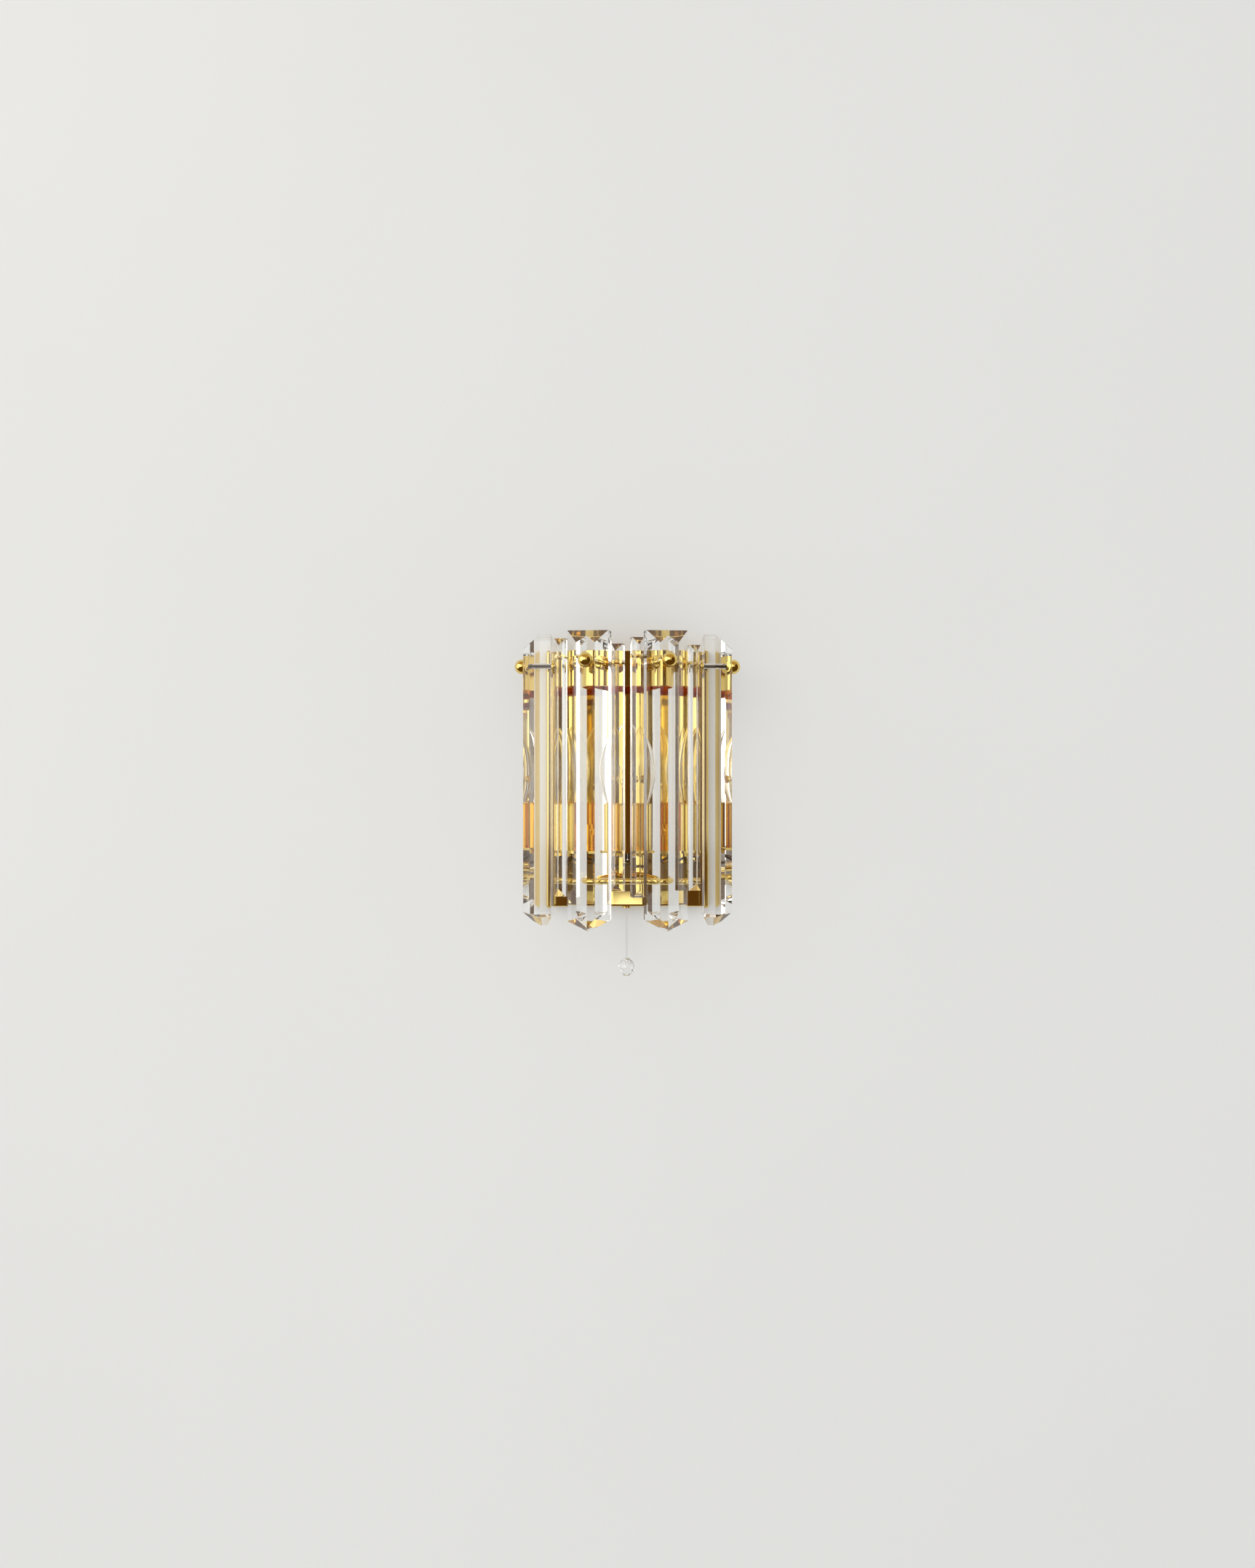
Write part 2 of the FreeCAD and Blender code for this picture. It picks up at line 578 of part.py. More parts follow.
def make_holder():
    """Lampholder with its threaded nipple, a bore for the bulb's cap and a wider collar."""
    bore = "(cap_radius + fit_gap)"
    floor = "(holder_height - bulb_seat)"
    return turned_profile([
        ("0", "-nipple_length"), ("nipple_radius", "-nipple_length"), ("nipple_radius", "0"), ("holder_radius", "0"),
        ("holder_radius", "holder_height"), ("collar_radius", "holder_height"),
        ("collar_radius", "holder_height - collar_depth"), (bore, "holder_height - collar_depth"), (bore, floor),
        ("0", floor),
    ])


BULB_BASE = "(holder_height - collar_depth)"


def make_cap():
    """The bulb's metal cap and the contact under it; its top carries the glass."""
    low = f"({BULB_BASE} - cap_length)"
    return turned_profile([
        ("0", f"{low} - contact_length"), ("contact_radius", f"{low} - contact_length"), ("contact_radius", low),
        ("cap_radius", low), ("cap_radius", BULB_BASE), ("0", BULB_BASE),
    ])


def bulb_profile(inset):
    """Half outline of the candle glass: heights and radii as shares of the bulb's own sizes."""
    neck, wide, tall = value("neck_radius") - inset, value("bulb_radius") - inset, value("bulb_length") - inset
    points = [(neck, 0), (neck + 0.16 * (wide - neck), 0.08 * tall), (neck + 0.66 * (wide - neck), 0.27 * tall),
              (wide, 0.50 * tall), (0.83 * wide, 0.70 * tall), (0.44 * wide, 0.87 * tall), (0, tall)]
    curve = Part.BSplineCurve()
    curve.interpolate([FreeCAD.Vector(r, 0, up) for r, up in points])
    return curve


def make_glass():
    """Thin candle-shaped envelope, open only where it stands on the cap."""
    outer, inner = bulb_profile(0), bulb_profile(value("bulb_wall"))
    top = Part.LineSegment(outer.EndPoint, inner.EndPoint)
    foot = Part.LineSegment(inner.StartPoint, outer.StartPoint)
    wire = Part.Wire(Part.__sortEdges__([outer.toShape(), top.toShape(), inner.toShape(), foot.toShape()]))
    feature = doc.addObject("Part::Feature", "glass")
    feature.Shape = Part.Face(wire).revolve(FreeCAD.Vector(), Z_AXIS, 360)
    return feature


def chain(points, radius):
    """Round wire along straight runs, with a ball at each bend."""
    solid = Part.makeSphere(radius, points[0])
    for a, b in zip(points, points[1:]):
        solid = solid.fuse([Part.makeCylinder(radius, (b - a).Length, a, b - a), Part.makeSphere(radius, b)])
    return solid.removeSplitter()


def make_filament():
    """Two support wires on the stem and the folded filament between them."""
    stem, tall, half = value("stem_length"), value("filament_height"), value("filament_half")
    side = value("stem_radius") + value("wire_radius") + value("fit_gap")
    folds = 4
    zigzag = [FreeCAD.Vector(-half + 2 * half * i / folds, 0, stem + tall * (0.95 if i % 2 == 0 else 0.35))
              for i in range(folds + 1)]
    start = [FreeCAD.Vector(-side, 0, stem * 0.6), FreeCAD.Vector(-half, 0, stem)]
    end = [FreeCAD.Vector(half, 0, stem), FreeCAD.Vector(side, 0, stem * 0.6)]
    feature = doc.addObject("Part::Feature", "filament")
    feature.Shape = chain(start + zigzag + end, value("wire_radius"))
    return feature


def make_lamps():
    nuts = []
    for label, side in (("left", -1), ("right", 1)):
        spot = (f"{side} * lamp_spread", "-lamp_depth")
        keep(place(make_holder(), *spot, "shelf_level"), f"lampholder_{label}")
        tube = cut(upright("sleeve_radius", "0", "0", "0", "sleeve_height"),
                   upright("sleeve_radius - sleeve_wall", "0", "0", "-1", "sleeve_height + 1"))
        keep(place(tube, *spot, "shelf_level"), f"holder_sleeve_{label}")
        keep(place(make_cap(), *spot, "shelf_level"), f"bulb_cap_{label}")
        stem = upright("stem_radius", "0", "0", "0", "stem_length")
        glass_level = f"shelf_level + {BULB_BASE}"
        keep(place(stem, *spot, glass_level), f"bulb_stem_{label}")
        keep(place(make_glass(), *spot, glass_level), f"bulb_glass_{label}")
        keep(place(make_filament(), *spot, glass_level), f"filament_{label}")
        nut = turned_profile([
            ("nipple_radius + fit_gap", "-holder_nut_height"), ("holder_nut_radius", "-holder_nut_height"),
            ("holder_nut_radius", "0"), ("nipple_radius + fit_gap", "0"),
        ])
        nuts.append(place(nut, *spot, "shelf_level - shelf_sheet"))
    keep(group(*nuts), "holder_nuts")


# ---- pull switch ------------------------------------------------------------------------


def make_switch():
    """Switch body, plunger, exit bush, cord and bead, all on one upright line."""
    low, high = "(switch_level - switch_height / 2)", "(switch_level + switch_height / 2)"
    line = ("pull_offset", "-pull_depth")
    case = box("pull_offset - switch_width / 2", "pull_offset + switch_width / 2", "-switch_front", "-switch_back",
               low, high)
    nozzle = upright("nozzle_radius", *line, f"{low} - nozzle_length", low)
    plunger_low = f"({low} - nozzle_length - plunger_stickout)"
    bore = upright("plunger_radius + fit_gap", *line, f"{low} - nozzle_length - 1",
                   f"{plunger_low} + plunger_length + 1")
    keep(cut(fuse(case, nozzle), bore), "pull_switch")
    keep(upright("plunger_radius", *line, plunger_low, f"{plunger_low} + plunger_length"), "switch_plunger")
    floor = "(-pan_height / 2)"
    flange = upright("bush_flange", *line, f"{floor} - bush_lip", floor)
    neck = upright("bush_radius", *line, f"{floor} - bush_lip", f"{floor} + bush_neck")
    way = upright("bush_bore", *line, f"{floor} - 5", f"{floor} + 5")
    keep(cut(fuse(flange, neck), way), "pull_bush")
    keep(upright("cord_radius", *line, "bead_level + bead_radius", plunger_low), "pull_cord")
    keep(place(make_bead(), *line, "bead_level"), "pull_bead")


def make_bead():
    """Faceted ball: rings of eight corners, each turned half a step, joined by triangles."""
    radius, table = value("bead_radius"), value("bead_table")
    sides = 8
    crown = radius * 0.62
    rings = [(table, radius), (math.sqrt(radius ** 2 - crown ** 2), crown), (radius, 0.0)]
    rings += [(r, -up) for r, up in reversed(rings[:-1])]
    corners = []
    for level, (r, up) in enumerate(rings):
        turn = 0.5 * (level % 2)
        corners.append([FreeCAD.Vector(r * math.cos(2 * math.pi * (i + turn) / sides),
                                       r * math.sin(2 * math.pi * (i + turn) / sides), up) for i in range(sides)])
    faces = [Part.Face(Part.makePolygon(ring + ring[:1])) for ring in (corners[0], corners[-1])]
    for level in range(len(rings) - 1):
        above, below = corners[level], corners[level + 1]
        shift = level % 2
        for i in range(sides):
            j = (i + 1) % sides
            a, b = above[i], above[j]
            c, d = below[(i + shift) % sides], below[(i + shift - 1) % sides]
            faces.append(Part.Face(Part.makePolygon([a, b, c, a])))
            faces.append(Part.Face(Part.makePolygon([a, c, d, a])))
    feature = doc.addObject("Part::Feature", "bead")
    feature.Shape = Part.Solid(Part.Shell(faces))
    return feature


# ---- wiring -----------------------------------------------------------------------------


def tube(points, radius):
    """Round cable along straight runs joined by tangent arcs, as large as the runs allow."""
    edges, last = [], points[0]
    for before, corner, after in zip(points, points[1:], points[2:]):
        arrive, leave = (corner - before), (after - corner)
        half_turn = arrive.getAngle(leave) / 2
        setback = 0.45 * min(arrive.Length, leave.Length)
        arrive.normalize()
        leave.normalize()
        start, end = corner - arrive * setback, corner + leave * setback
        bend = setback / math.tan(half_turn)
        inward = (leave - arrive).normalize()
        middle = corner + inward * (bend / math.cos(half_turn) - bend)
        edges += [Part.LineSegment(last, start).toShape(), Part.Arc(start, middle, end).toShape()]
        last = end
        print(f"lead bend radius {bend:.1f}")
    edges.append(Part.LineSegment(last, points[-1]).toShape())
    path = Part.Wire(edges)
    ring = Part.Wire(Part.makeCircle(radius, points[0], points[1] - points[0]))
    feature = doc.addObject("Part::Feature", "tube")
    feature.Shape = path.makePipeShell([ring], True, False)
    return feature


def make_wiring():
    half_w = "terminal_width / 2"
    low, high = "(terminal_level - terminal_height / 2)", "(terminal_level + terminal_height / 2)"
    back = "-(pan_depth - pan_sheet - air_gap - terminal_depth)"
    block = box(f"-{half_w}", half_w, "-(pan_depth - pan_sheet - air_gap)", back, low, high)
    heads = [forward("lead_radius * 1.5", f"{step} * terminal_width / 3",
                     f"terminal_level + {end} * terminal_height / 4", "0", f"{back} - 2")
             for step in (-1, 0, 1) for end in (-1, 1)]
    keep(cut(block, *heads), "terminal_block")
    shank = forward("fixing_radius", "earth_across", "earth_level", "-(pan_depth - pan_sheet)", "-(pan_depth + 2)")
    head = forward("earth_head_radius", "earth_across", "earth_level",
                   "-(pan_depth - pan_sheet - earth_head_height)", "-(pan_depth - pan_sheet)")
    keep(fuse(shank, head), "earth_screw")
    collar = forward("grommet_radius", "0", "grommet_level", "-(pan_depth - pan_sheet)", "-pan_depth - grommet_lip")
    lip = forward("grommet_flange", "0", "grommet_level", "-pan_depth", "-pan_depth - grommet_lip")
    way = forward("grommet_bore", "0", "grommet_level", "0", "-pan_depth - 5")
    keep(cut(fuse(collar, lip), way), "lead_grommet")

    start_x, start_z = value("terminal_width / 6"), value("terminal_level - terminal_height / 2")
    depth, near, exit_z = -value("lead_depth"), value("lead_spread"), value("grommet_level")
    lamp_x, lamp_y, nipple_z = value("lamp_spread"), -value("lamp_depth"), value("shelf_level - nipple_length")
    low_z = nipple_z - value("lead_dip")
    # straight down from the terminals, drawn together behind the pan, then forward through the grommet
    fall = start_z - exit_z
    down = [(start_x, start_z), (start_x, start_z - 0.25 * fall),
            (near + 0.2 * (start_x - near), start_z - 0.62 * fall), (near, exit_z)]
    # shares of the way from the grommet to the foot of the last upright run: across, forward and down
    shares = [(0.0, 0.47, 0.2), (0.36, 0.71, 0.7), (0.70, 0.87, 1.08)]
    for label, side in (("left", -1), ("right", 1)):
        route = [(x, depth, z) for x, z in down]
        route += [(near + across * (lamp_x - near), depth + ahead * (lamp_y - depth),
                   exit_z + drop * (low_z - exit_z)) for across, ahead, drop in shares]
        route += [(lamp_x, lamp_y, low_z), (lamp_x, lamp_y, nipple_z)]
        points = [FreeCAD.Vector(side * x, y, z) for x, y, z in route]
        keep(tube(points, value("lead_radius")), f"lamp_lead_{label}")
    top = value("switch_level + switch_height / 2")
    fall = start_z - top
    beside = value("pull_offset - switch_width / 2 + lead_radius * 2")
    outside = value("-terminal_width * 0.37")
    route = [(outside, start_z), (outside, start_z - 0.45 * fall), (beside, start_z - 0.73 * fall), (beside, top)]
    keep(tube([FreeCAD.Vector(x, depth, z) for x, z in route], value("lead_radius")), "switch_lead")


# ---- build ------------------------------------------------------------------------------

make_fixings()
make_pan()
make_frame()
for label, side, yaw in CRYSTALS:
    keep(make_crystal(side, yaw), f"crystal_{label}")
for label, side, ring, length in PRISMS:
    keep(make_prism(side, ring, length), f"prism_{label}")
make_crystal_fixings()
make_shelf()
make_lamps()
make_switch()
make_wiring()
doc.recompute()

for thing in doc.Objects:
    if "Invalid" in thing.State or "Error" in thing.State:
        raise RuntimeError(f"{thing.Name} ({thing.Label}) failed: {thing.State}")
for node in nodes:
    if node.Shape.isNull() or not node.Shape.isValid() or not node.Shape.Solids:
        raise RuntimeError(f"{node.Label} has no valid solid")

os.makedirs("parts", exist_ok=True)
for node in nodes:
    node.Shape.exportStep(f"parts/{node.Label}.step")
    print(f"{node.Label}: {len(node.Shape.Solids)} solid(s), {node.Shape.Volume:.1f} mm3")
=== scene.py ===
"""Crystal wall sconce: gilt brass frame, cut crystals, clear candle lamps and a bead on a pull cord.

Everything is in metres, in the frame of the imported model: +X right, +Y into the wall, +Z up.
"""

import json
import math

import bmesh
import bpy
import numpy as np
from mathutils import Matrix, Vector


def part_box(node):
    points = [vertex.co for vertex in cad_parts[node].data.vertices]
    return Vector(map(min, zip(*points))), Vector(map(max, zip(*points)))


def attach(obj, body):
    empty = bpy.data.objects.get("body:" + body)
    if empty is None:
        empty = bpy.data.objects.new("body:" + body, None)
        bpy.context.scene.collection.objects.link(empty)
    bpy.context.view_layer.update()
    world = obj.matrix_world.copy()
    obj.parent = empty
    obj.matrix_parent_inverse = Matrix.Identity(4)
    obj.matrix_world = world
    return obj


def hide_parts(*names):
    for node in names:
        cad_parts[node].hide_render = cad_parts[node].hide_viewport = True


bl_info = {
    "name": "Crystal wall sconce",
    "version": (1, 0, 0),
    "blender": (4, 5, 0),
    "location": "3D View > Sidebar > Sconce",
    "description": "Dresses the frame of a brass wall light with cut crystals, lamps and a pull cord",
    "category": "Add Mesh",
}

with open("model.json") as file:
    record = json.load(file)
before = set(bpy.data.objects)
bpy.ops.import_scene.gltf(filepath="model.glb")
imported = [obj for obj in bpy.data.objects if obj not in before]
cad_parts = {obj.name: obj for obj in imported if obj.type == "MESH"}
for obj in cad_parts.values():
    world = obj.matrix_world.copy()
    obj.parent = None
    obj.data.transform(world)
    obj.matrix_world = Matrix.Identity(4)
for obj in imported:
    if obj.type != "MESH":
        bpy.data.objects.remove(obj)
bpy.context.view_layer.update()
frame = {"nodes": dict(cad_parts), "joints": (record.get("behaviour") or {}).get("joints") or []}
NODES = frame["nodes"]
JOINTS = {joint["name"]: joint for joint in frame["joints"]}
MM = 0.001

CRYSTALS = ("front_left", "front_right", "side_left", "side_right")
PRISMS = ("outer_left", "inner_left", "inner_right", "outer_right")
LAMPS = ("left", "right")

PAN_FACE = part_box("back_pan")[0].y
FRAME_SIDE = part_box("upper_band")[1].x
FRAME_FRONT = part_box("upper_band")[0].y
FRAME_CORNER = 30.2 * MM


# ---- meshes computed as whole arrays ------------------------------------------------------


def grid_piece(name, points, around=False, along=False, sharp=40.0):
    """Object from a grid of points (rows, columns, 3): every cell is one face between its four neighbours.

    around joins the last column to the first and along joins the last row to the first. Rows that have
    shrunk to one point are merged there, and the faces are turned outwards.
    """
    rows, columns = points.shape[:2]
    down = np.arange(rows if along else rows - 1)
    across = np.arange(columns if around else columns - 1)
    r, c = np.meshgrid(down, across, indexing="ij")
    up, right = (r + 1) % rows, (c + 1) % columns
    cells = np.stack([r * columns + c, r * columns + right, up * columns + right, up * columns + c], axis=-1)
    mesh = bpy.data.meshes.new(name)
    mesh.from_pydata(points.reshape(-1, 3).tolist(), [], cells.reshape(-1, 4).tolist())
    return finished_mesh(name, mesh, sharp)


def finished_mesh(name, mesh, sharp):
    """Merges doubled points, turns faces outwards and shades smooth up to the sharp angle in degrees."""
    work = bmesh.new()
    work.from_mesh(mesh)
    bmesh.ops.remove_doubles(work, verts=work.verts, dist=1e-7)
    bmesh.ops.recalc_face_normals(work, faces=work.faces)
    work.to_mesh(mesh)
    work.free()
    mesh.shade_smooth()
    mesh.set_sharp_from_angle(angle=math.radians(sharp))
    piece = bpy.data.objects.new(name, mesh)
    bpy.context.scene.collection.objects.link(piece)
    return piece


def joined(name, parts, sharp=40.0):
    """One object from several like pieces, which it takes the place of."""
    work = bmesh.new()
    for part in parts:
        work.from_mesh(part.data)
        bpy.data.objects.remove(part)
    mesh = bpy.data.meshes.new(name)
    work.to_mesh(mesh)
    work.free()
    return finished_mesh(name, mesh, sharp)


def axes_of(direction):
    """Unit vectors (along, first, second) with along on the direction and the others square to it."""
    along = np.asarray(direction, float)
    along /= np.linalg.norm(along)
    helper = np.array([0.0, 0.0, 1.0]) if abs(along[2]) < 0.9 else np.array([1.0, 0.0, 0.0])
    first = np.cross(helper, along)
    first /= np.linalg.norm(first)
    return along, first, np.cross(along, first)


def turned_points(profile, origin, direction, sides, swell=None):
    """Surface of revolution: point = origin + s a + r (cos t b + sin t c).

    (r, s) runs over the profile and t round the axis a. swell(s, t) is added to r where given, for threads.
    """
    profile = np.asarray(profile, float)
    along, first, second = axes_of(direction)
    turn = np.linspace(0.0, 2.0 * np.pi, sides, endpoint=False)
    s, t = np.meshgrid(profile[:, 1], turn, indexing="ij")
    r = np.repeat(profile[:, :1], sides, axis=1)
    if swell is not None:
        r = r + swell(s, t)
    ring = r[..., None] * (np.cos(t)[..., None] * first + np.sin(t)[..., None] * second)
    return np.asarray(origin, float) + s[..., None] * along + ring


def turned(name, profile, origin, direction=(0, 0, 1), sides=64):
    """Object turned about an axis through the origin."""
    return grid_piece(name, turned_points(profile, origin, direction, sides), around=True)


def rounded_corner(r, s, radius, start, end, count=5):
    """Points (r, s) of an arc about a centre, from the start angle to the end angle in degrees."""
    angle = np.radians(np.linspace(start, end, count))
    return np.stack([r + radius * np.cos(angle), s + radius * np.sin(angle)], axis=-1)


QUARTERS = ((1, 1, 0, 90), (-1, 1, 90, 180), (-1, -1, 180, 270), (1, -1, 270, 360))


def rounded_rectangle(half_a, half_b, corner, inset=0.0, count=5):
    """Closed outline (a, b): a quarter arc about each corner's centre, its radius smaller by the inset."""
    return np.vstack([
        rounded_corner(i * (half_a - corner), j * (half_b - corner), corner - inset, start, end, count)
        for i, j, start, end in QUARTERS
    ])


def smooth_through(points, count):
    """Catmull-Rom curve: each span is a cubic whose end slopes are half the chord between its neighbours."""
    points = np.asarray(points, float)
    padded = np.vstack([2 * points[0] - points[1], points, 2 * points[-1] - points[-2]])
    place = np.linspace(0, len(points) - 1, count)
    span = np.minimum(place.astype(int), len(points) - 2)
    u = (place - span)[:, None]
    a, b, c, d = (padded[span + i] for i in range(4))
    return 0.5 * (2 * b + (c - a) * u + (2 * a - 5 * b + 4 * c - d) * u**2 + (3 * b - a - 3 * c + d) * u**3)


def tube_points(path, radius, sides, upright=False):
    """Round tube: point = path + radius (cos t n + sin t m), with n and m square to the path at every step.

    n is level where upright is given, for a path in plan, and otherwise square to Y.
    """
    path = np.asarray(path, float)
    tangent = np.gradient(path, axis=0)
    tangent /= np.linalg.norm(tangent, axis=1)[:, None]
    side = np.cross(tangent, np.array([0.0, 0.0, 1.0]) if upright else np.array([0.0, 1.0, 0.0]))
    side /= np.maximum(np.linalg.norm(side, axis=1), 1e-9)[:, None]
    other = np.cross(tangent, side)
    turn = np.linspace(0.0, 2.0 * np.pi, sides, endpoint=False)[None, :, None]
    return path[:, None] + radius * (np.cos(turn) * side[:, None] + np.sin(turn) * other[:, None])


def polished_copy(name, node, width):
    """The node's own facets as one welded mesh, with its cut edges taken off by the bevel width."""
    mesh = NODES[node].data.copy()
    mesh.name = name
    mesh.materials.clear()
    work = bmesh.new()
    work.from_mesh(mesh)
    bmesh.ops.remove_doubles(work, verts=work.verts, dist=2e-6)
    bmesh.ops.dissolve_limit(work, angle_limit=math.radians(0.4), verts=work.verts, edges=work.edges)
    work.to_mesh(mesh)
    work.free()
    mesh.shade_flat()
    piece = bpy.data.objects.new(name, mesh)
    bpy.context.scene.collection.objects.link(piece)
    edge = piece.modifiers.new("polished edge", "BEVEL")
    edge.width = width
    edge.segments = 2
    edge.limit_method = "ANGLE"
    edge.angle_limit = math.radians(22)
    return piece


def let_light_through(piece):
    """Clear pieces neither shade the wall nor tint the even light that falls on it."""
    piece.visible_shadow = False
    piece.visible_diffuse = False
    return piece


def dress(piece, body, material, slot, *nodes):
    """Gives the piece its material, lets it ride on the body and hides the nodes it stands for."""
    piece.data.materials.clear()
    piece.data.materials.append(material)
    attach(piece, body)
    if nodes:
        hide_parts(*nodes)
    return piece


def paint(material, *nodes):
    """Gives CAD nodes whose shape is right their finish."""
    for name in nodes:
        NODES[name].data.materials.clear()
        NODES[name].data.materials.append(material)


# ---- materials --------------------------------------------------------------------------


class Shader:
    """A node material under construction around one Principled shader."""

    def __init__(self, name, **sockets):
        self.material = bpy.data.materials.new(name)
        self.material.use_nodes = True
        self.tree = self.material.node_tree
        self.principled = self.tree.nodes["Principled BSDF"]
        for socket, value in sockets.items():
            self.principled.inputs[socket.replace("_", " ")].default_value = value

    def add(self, kind, links=None, **settings):
        node = self.tree.nodes.new(kind)
        for key, value in settings.items():
            setattr(node, key, value)
        for socket, source in (links or {}).items():
            target = node.inputs[socket]
            if isinstance(source, bpy.types.NodeSocket):
                self.tree.links.new(source, target)
            else:
                target.default_value = source
        return node

    def coordinates(self, scale=(1.0, 1.0, 1.0)):
        place = self.add("ShaderNodeTexCoord").outputs["Object"]
        return self.add("ShaderNodeMapping", {"Vector": place, "Scale": scale}).outputs["Vector"]

    def noise(self, vector, scale, detail=3.0, roughness=0.5):
        return self.add("ShaderNodeTexNoise", {"Vector": vector, "Scale": scale, "Detail": detail,
                                               "Roughness": roughness}).outputs["Fac"]

    def spread(self, fac, low, high, start=0.3, end=0.7):
        """Maps a noise between start and end onto low to high."""
        sockets = {"Value": fac, "From Min": start, "From Max": end, "To Min": low, "To Max": high}
        return self.add("ShaderNodeMapRange", sockets).outputs["Result"]

    def blend(self, fac, first, second):
        mix = self.add("ShaderNodeMix", data_type="RGBA")
        for socket, source in ((mix.inputs[0], fac), (mix.inputs[6], first), (mix.inputs[7], second)):
            if isinstance(source, bpy.types.NodeSocket):
                self.tree.links.new(source, socket)
            else:
                socket.default_value = source
        return mix.outputs[2]

    def bump(self, height, distance, strength=1.0):
        made = self.add("ShaderNodeBump", {"Height": height, "Distance": distance, "Strength": strength})
        self.tree.links.new(made.outputs["Normal"], self.principled.inputs["Normal"])
        return self

    def link(self, output, socket):
        self.tree.links.new(output, self.principled.inputs[socket])
        return self


def rgb(colour):
    return (*tuple(colour)[:3], 1.0)


def polished_brass(name, colour, roughness):
    """Gilt brass, mirror polished: faint buffing haze and slightly deeper colour in clouds."""
    shade = Shader(name, Metallic=1.0)
    clouds = shade.noise(shade.coordinates(), 24.0, 4.0)
    deeper = tuple(c * f for c, f in zip(colour, (0.93, 0.86, 0.72)))
    shade.link(shade.blend(shade.spread(clouds, 0.0, 1.0), rgb(colour), rgb(deeper)), "Base Color")
    haze = shade.noise(shade.coordinates((1.0, 1.0, 0.15)), 160.0, 5.0, 0.65)
    shade.link(shade.spread(haze, roughness * 0.5, roughness * 1.8), "Roughness")
    buffing = shade.noise(shade.coordinates((1.0, 1.0, 0.25)), 55.0, 2.0)
    return shade.bump(buffing, 0.000005, 0.4).material


def lead_crystal(name, tint, ior):
    """Clear cut crystal: drawn waviness along its length, almost no tint."""
    shade = Shader(name, Base_Color=rgb(tint), Transmission_Weight=1.0, IOR=ior, Roughness=0.0)
    drawn = shade.noise(shade.coordinates((1.0, 1.0, 0.05)), 90.0, 2.0)
    return shade.bump(drawn, 0.000008, 0.4).material


def lamp_glass(name):
    """Thin blown glass of a clear lamp."""
    shade = Shader(name, Transmission_Weight=1.0, IOR=1.45, Roughness=0.0)
    shade.principled.inputs["Base Color"].default_value = (0.985, 0.985, 0.98, 1.0)
    blown = shade.noise(shade.coordinates(), 40.0, 1.0)
    return shade.bump(blown, 0.000006, 0.4).material


def zinc_steel(name):
    """Zinc-plated steel with a rolled grain and dull spangle."""
    shade = Shader(name, Metallic=1.0)
    grain = shade.noise(shade.coordinates((0.05, 1.0, 1.0)), 900.0, 4.0)
    spangle = shade.noise(shade.coordinates(), 120.0, 2.0)
    shade.link(shade.blend(spangle, (0.55, 0.56, 0.58, 1.0), (0.72, 0.72, 0.70, 1.0)), "Base Color")
    shade.link(shade.spread(grain, 0.28, 0.48), "Roughness")
    return shade.bump(grain, 0.00002, 0.4).material


def moulded(name, colour, roughness, mottle=0.06, gloss=0.5):
    """Moulded plastic: fine spark texture and a little mottling."""
    shade = Shader(name, Specular_IOR_Level=gloss)
    cloud = shade.noise(shade.coordinates(), 70.0, 3.0)
    darker = tuple(c * (1.0 - mottle) for c in colour)
    shade.link(shade.blend(cloud, rgb(darker), rgb(colour)), "Base Color")
    shade.link(shade.spread(cloud, roughness * 0.85, roughness * 1.15), "Roughness")
    spark = shade.noise(shade.coordinates(), 1400.0, 2.0)
    return shade.bump(spark, 0.00004, 0.5).material


def tungsten(name):
    """Drawn wire, grey with a faint sheen."""
    shade = Shader(name, Metallic=1.0)
    drawn = shade.noise(shade.coordinates((1.0, 1.0, 6.0)), 500.0, 2.0)
    shade.link(shade.blend(drawn, (0.22, 0.21, 0.20, 1.0), (0.42, 0.41, 0.40, 1.0)), "Base Color")
    shade.link(shade.spread(drawn, 0.3, 0.5), "Roughness")
    return shade.material


def braided_cord(name, colour, pitch):
    """Thin braid: two crossing sets of strands along the cord, raised between their crossings; its colour is
    darker in the low places between the strands, which is painted shade.
    """
    shade = Shader(name, Roughness=0.7, Sheen_Weight=0.15)
    place = shade.coordinates()
    parts = shade.add("ShaderNodeSeparateXYZ", {"Vector": place})
    turns = 2 * math.pi / pitch
    rise = shade.add("ShaderNodeMath", {0: parts.outputs["Z"], 1: turns}, operation="MULTIPLY")
    across = shade.add("ShaderNodeMath", {0: parts.outputs["X"], 1: turns}, operation="MULTIPLY")
    waves = []
    for kind in ("ADD", "SUBTRACT"):
        phase = shade.add("ShaderNodeMath", {0: rise.outputs[0], 1: across.outputs[0]}, operation=kind)
        waves.append(shade.add("ShaderNodeMath", {0: phase.outputs[0]}, operation="SINE").outputs[0])
    crossing = shade.add("ShaderNodeMath", {0: waves[0], 1: waves[1]}, operation="MAXIMUM").outputs[0]
    darker = tuple(c * 0.9 for c in colour)
    # Painted shade: the colour goes ten percent darker where the strands dip, in the grooves between them.
    raised = shade.spread(crossing, 0.0, 1.0, -0.6, 0.9)
    shade.link(shade.blend(raised, rgb(darker), rgb(colour)), "Base Color")
    return shade.bump(crossing, 0.00008, 0.8).material


# ---- settings a user would change -----------------------------------------------------------


class CrystalSettings(bpy.types.PropertyGroup):
    tint: bpy.props.FloatVectorProperty(
        name="Tint", description="Body colour of the crystal", subtype="COLOR", default=(0.985, 0.99, 0.985),
        min=0.0, max=1.0)
    ior: bpy.props.FloatProperty(
        name="Refraction", description="Index of refraction of the crystal", default=1.52, min=1.3, max=1.8)
    edge: bpy.props.FloatProperty(
        name="Edge polish", description="Width taken off each cut edge", default=0.00022, min=0.0, max=0.001,
        unit="LENGTH")


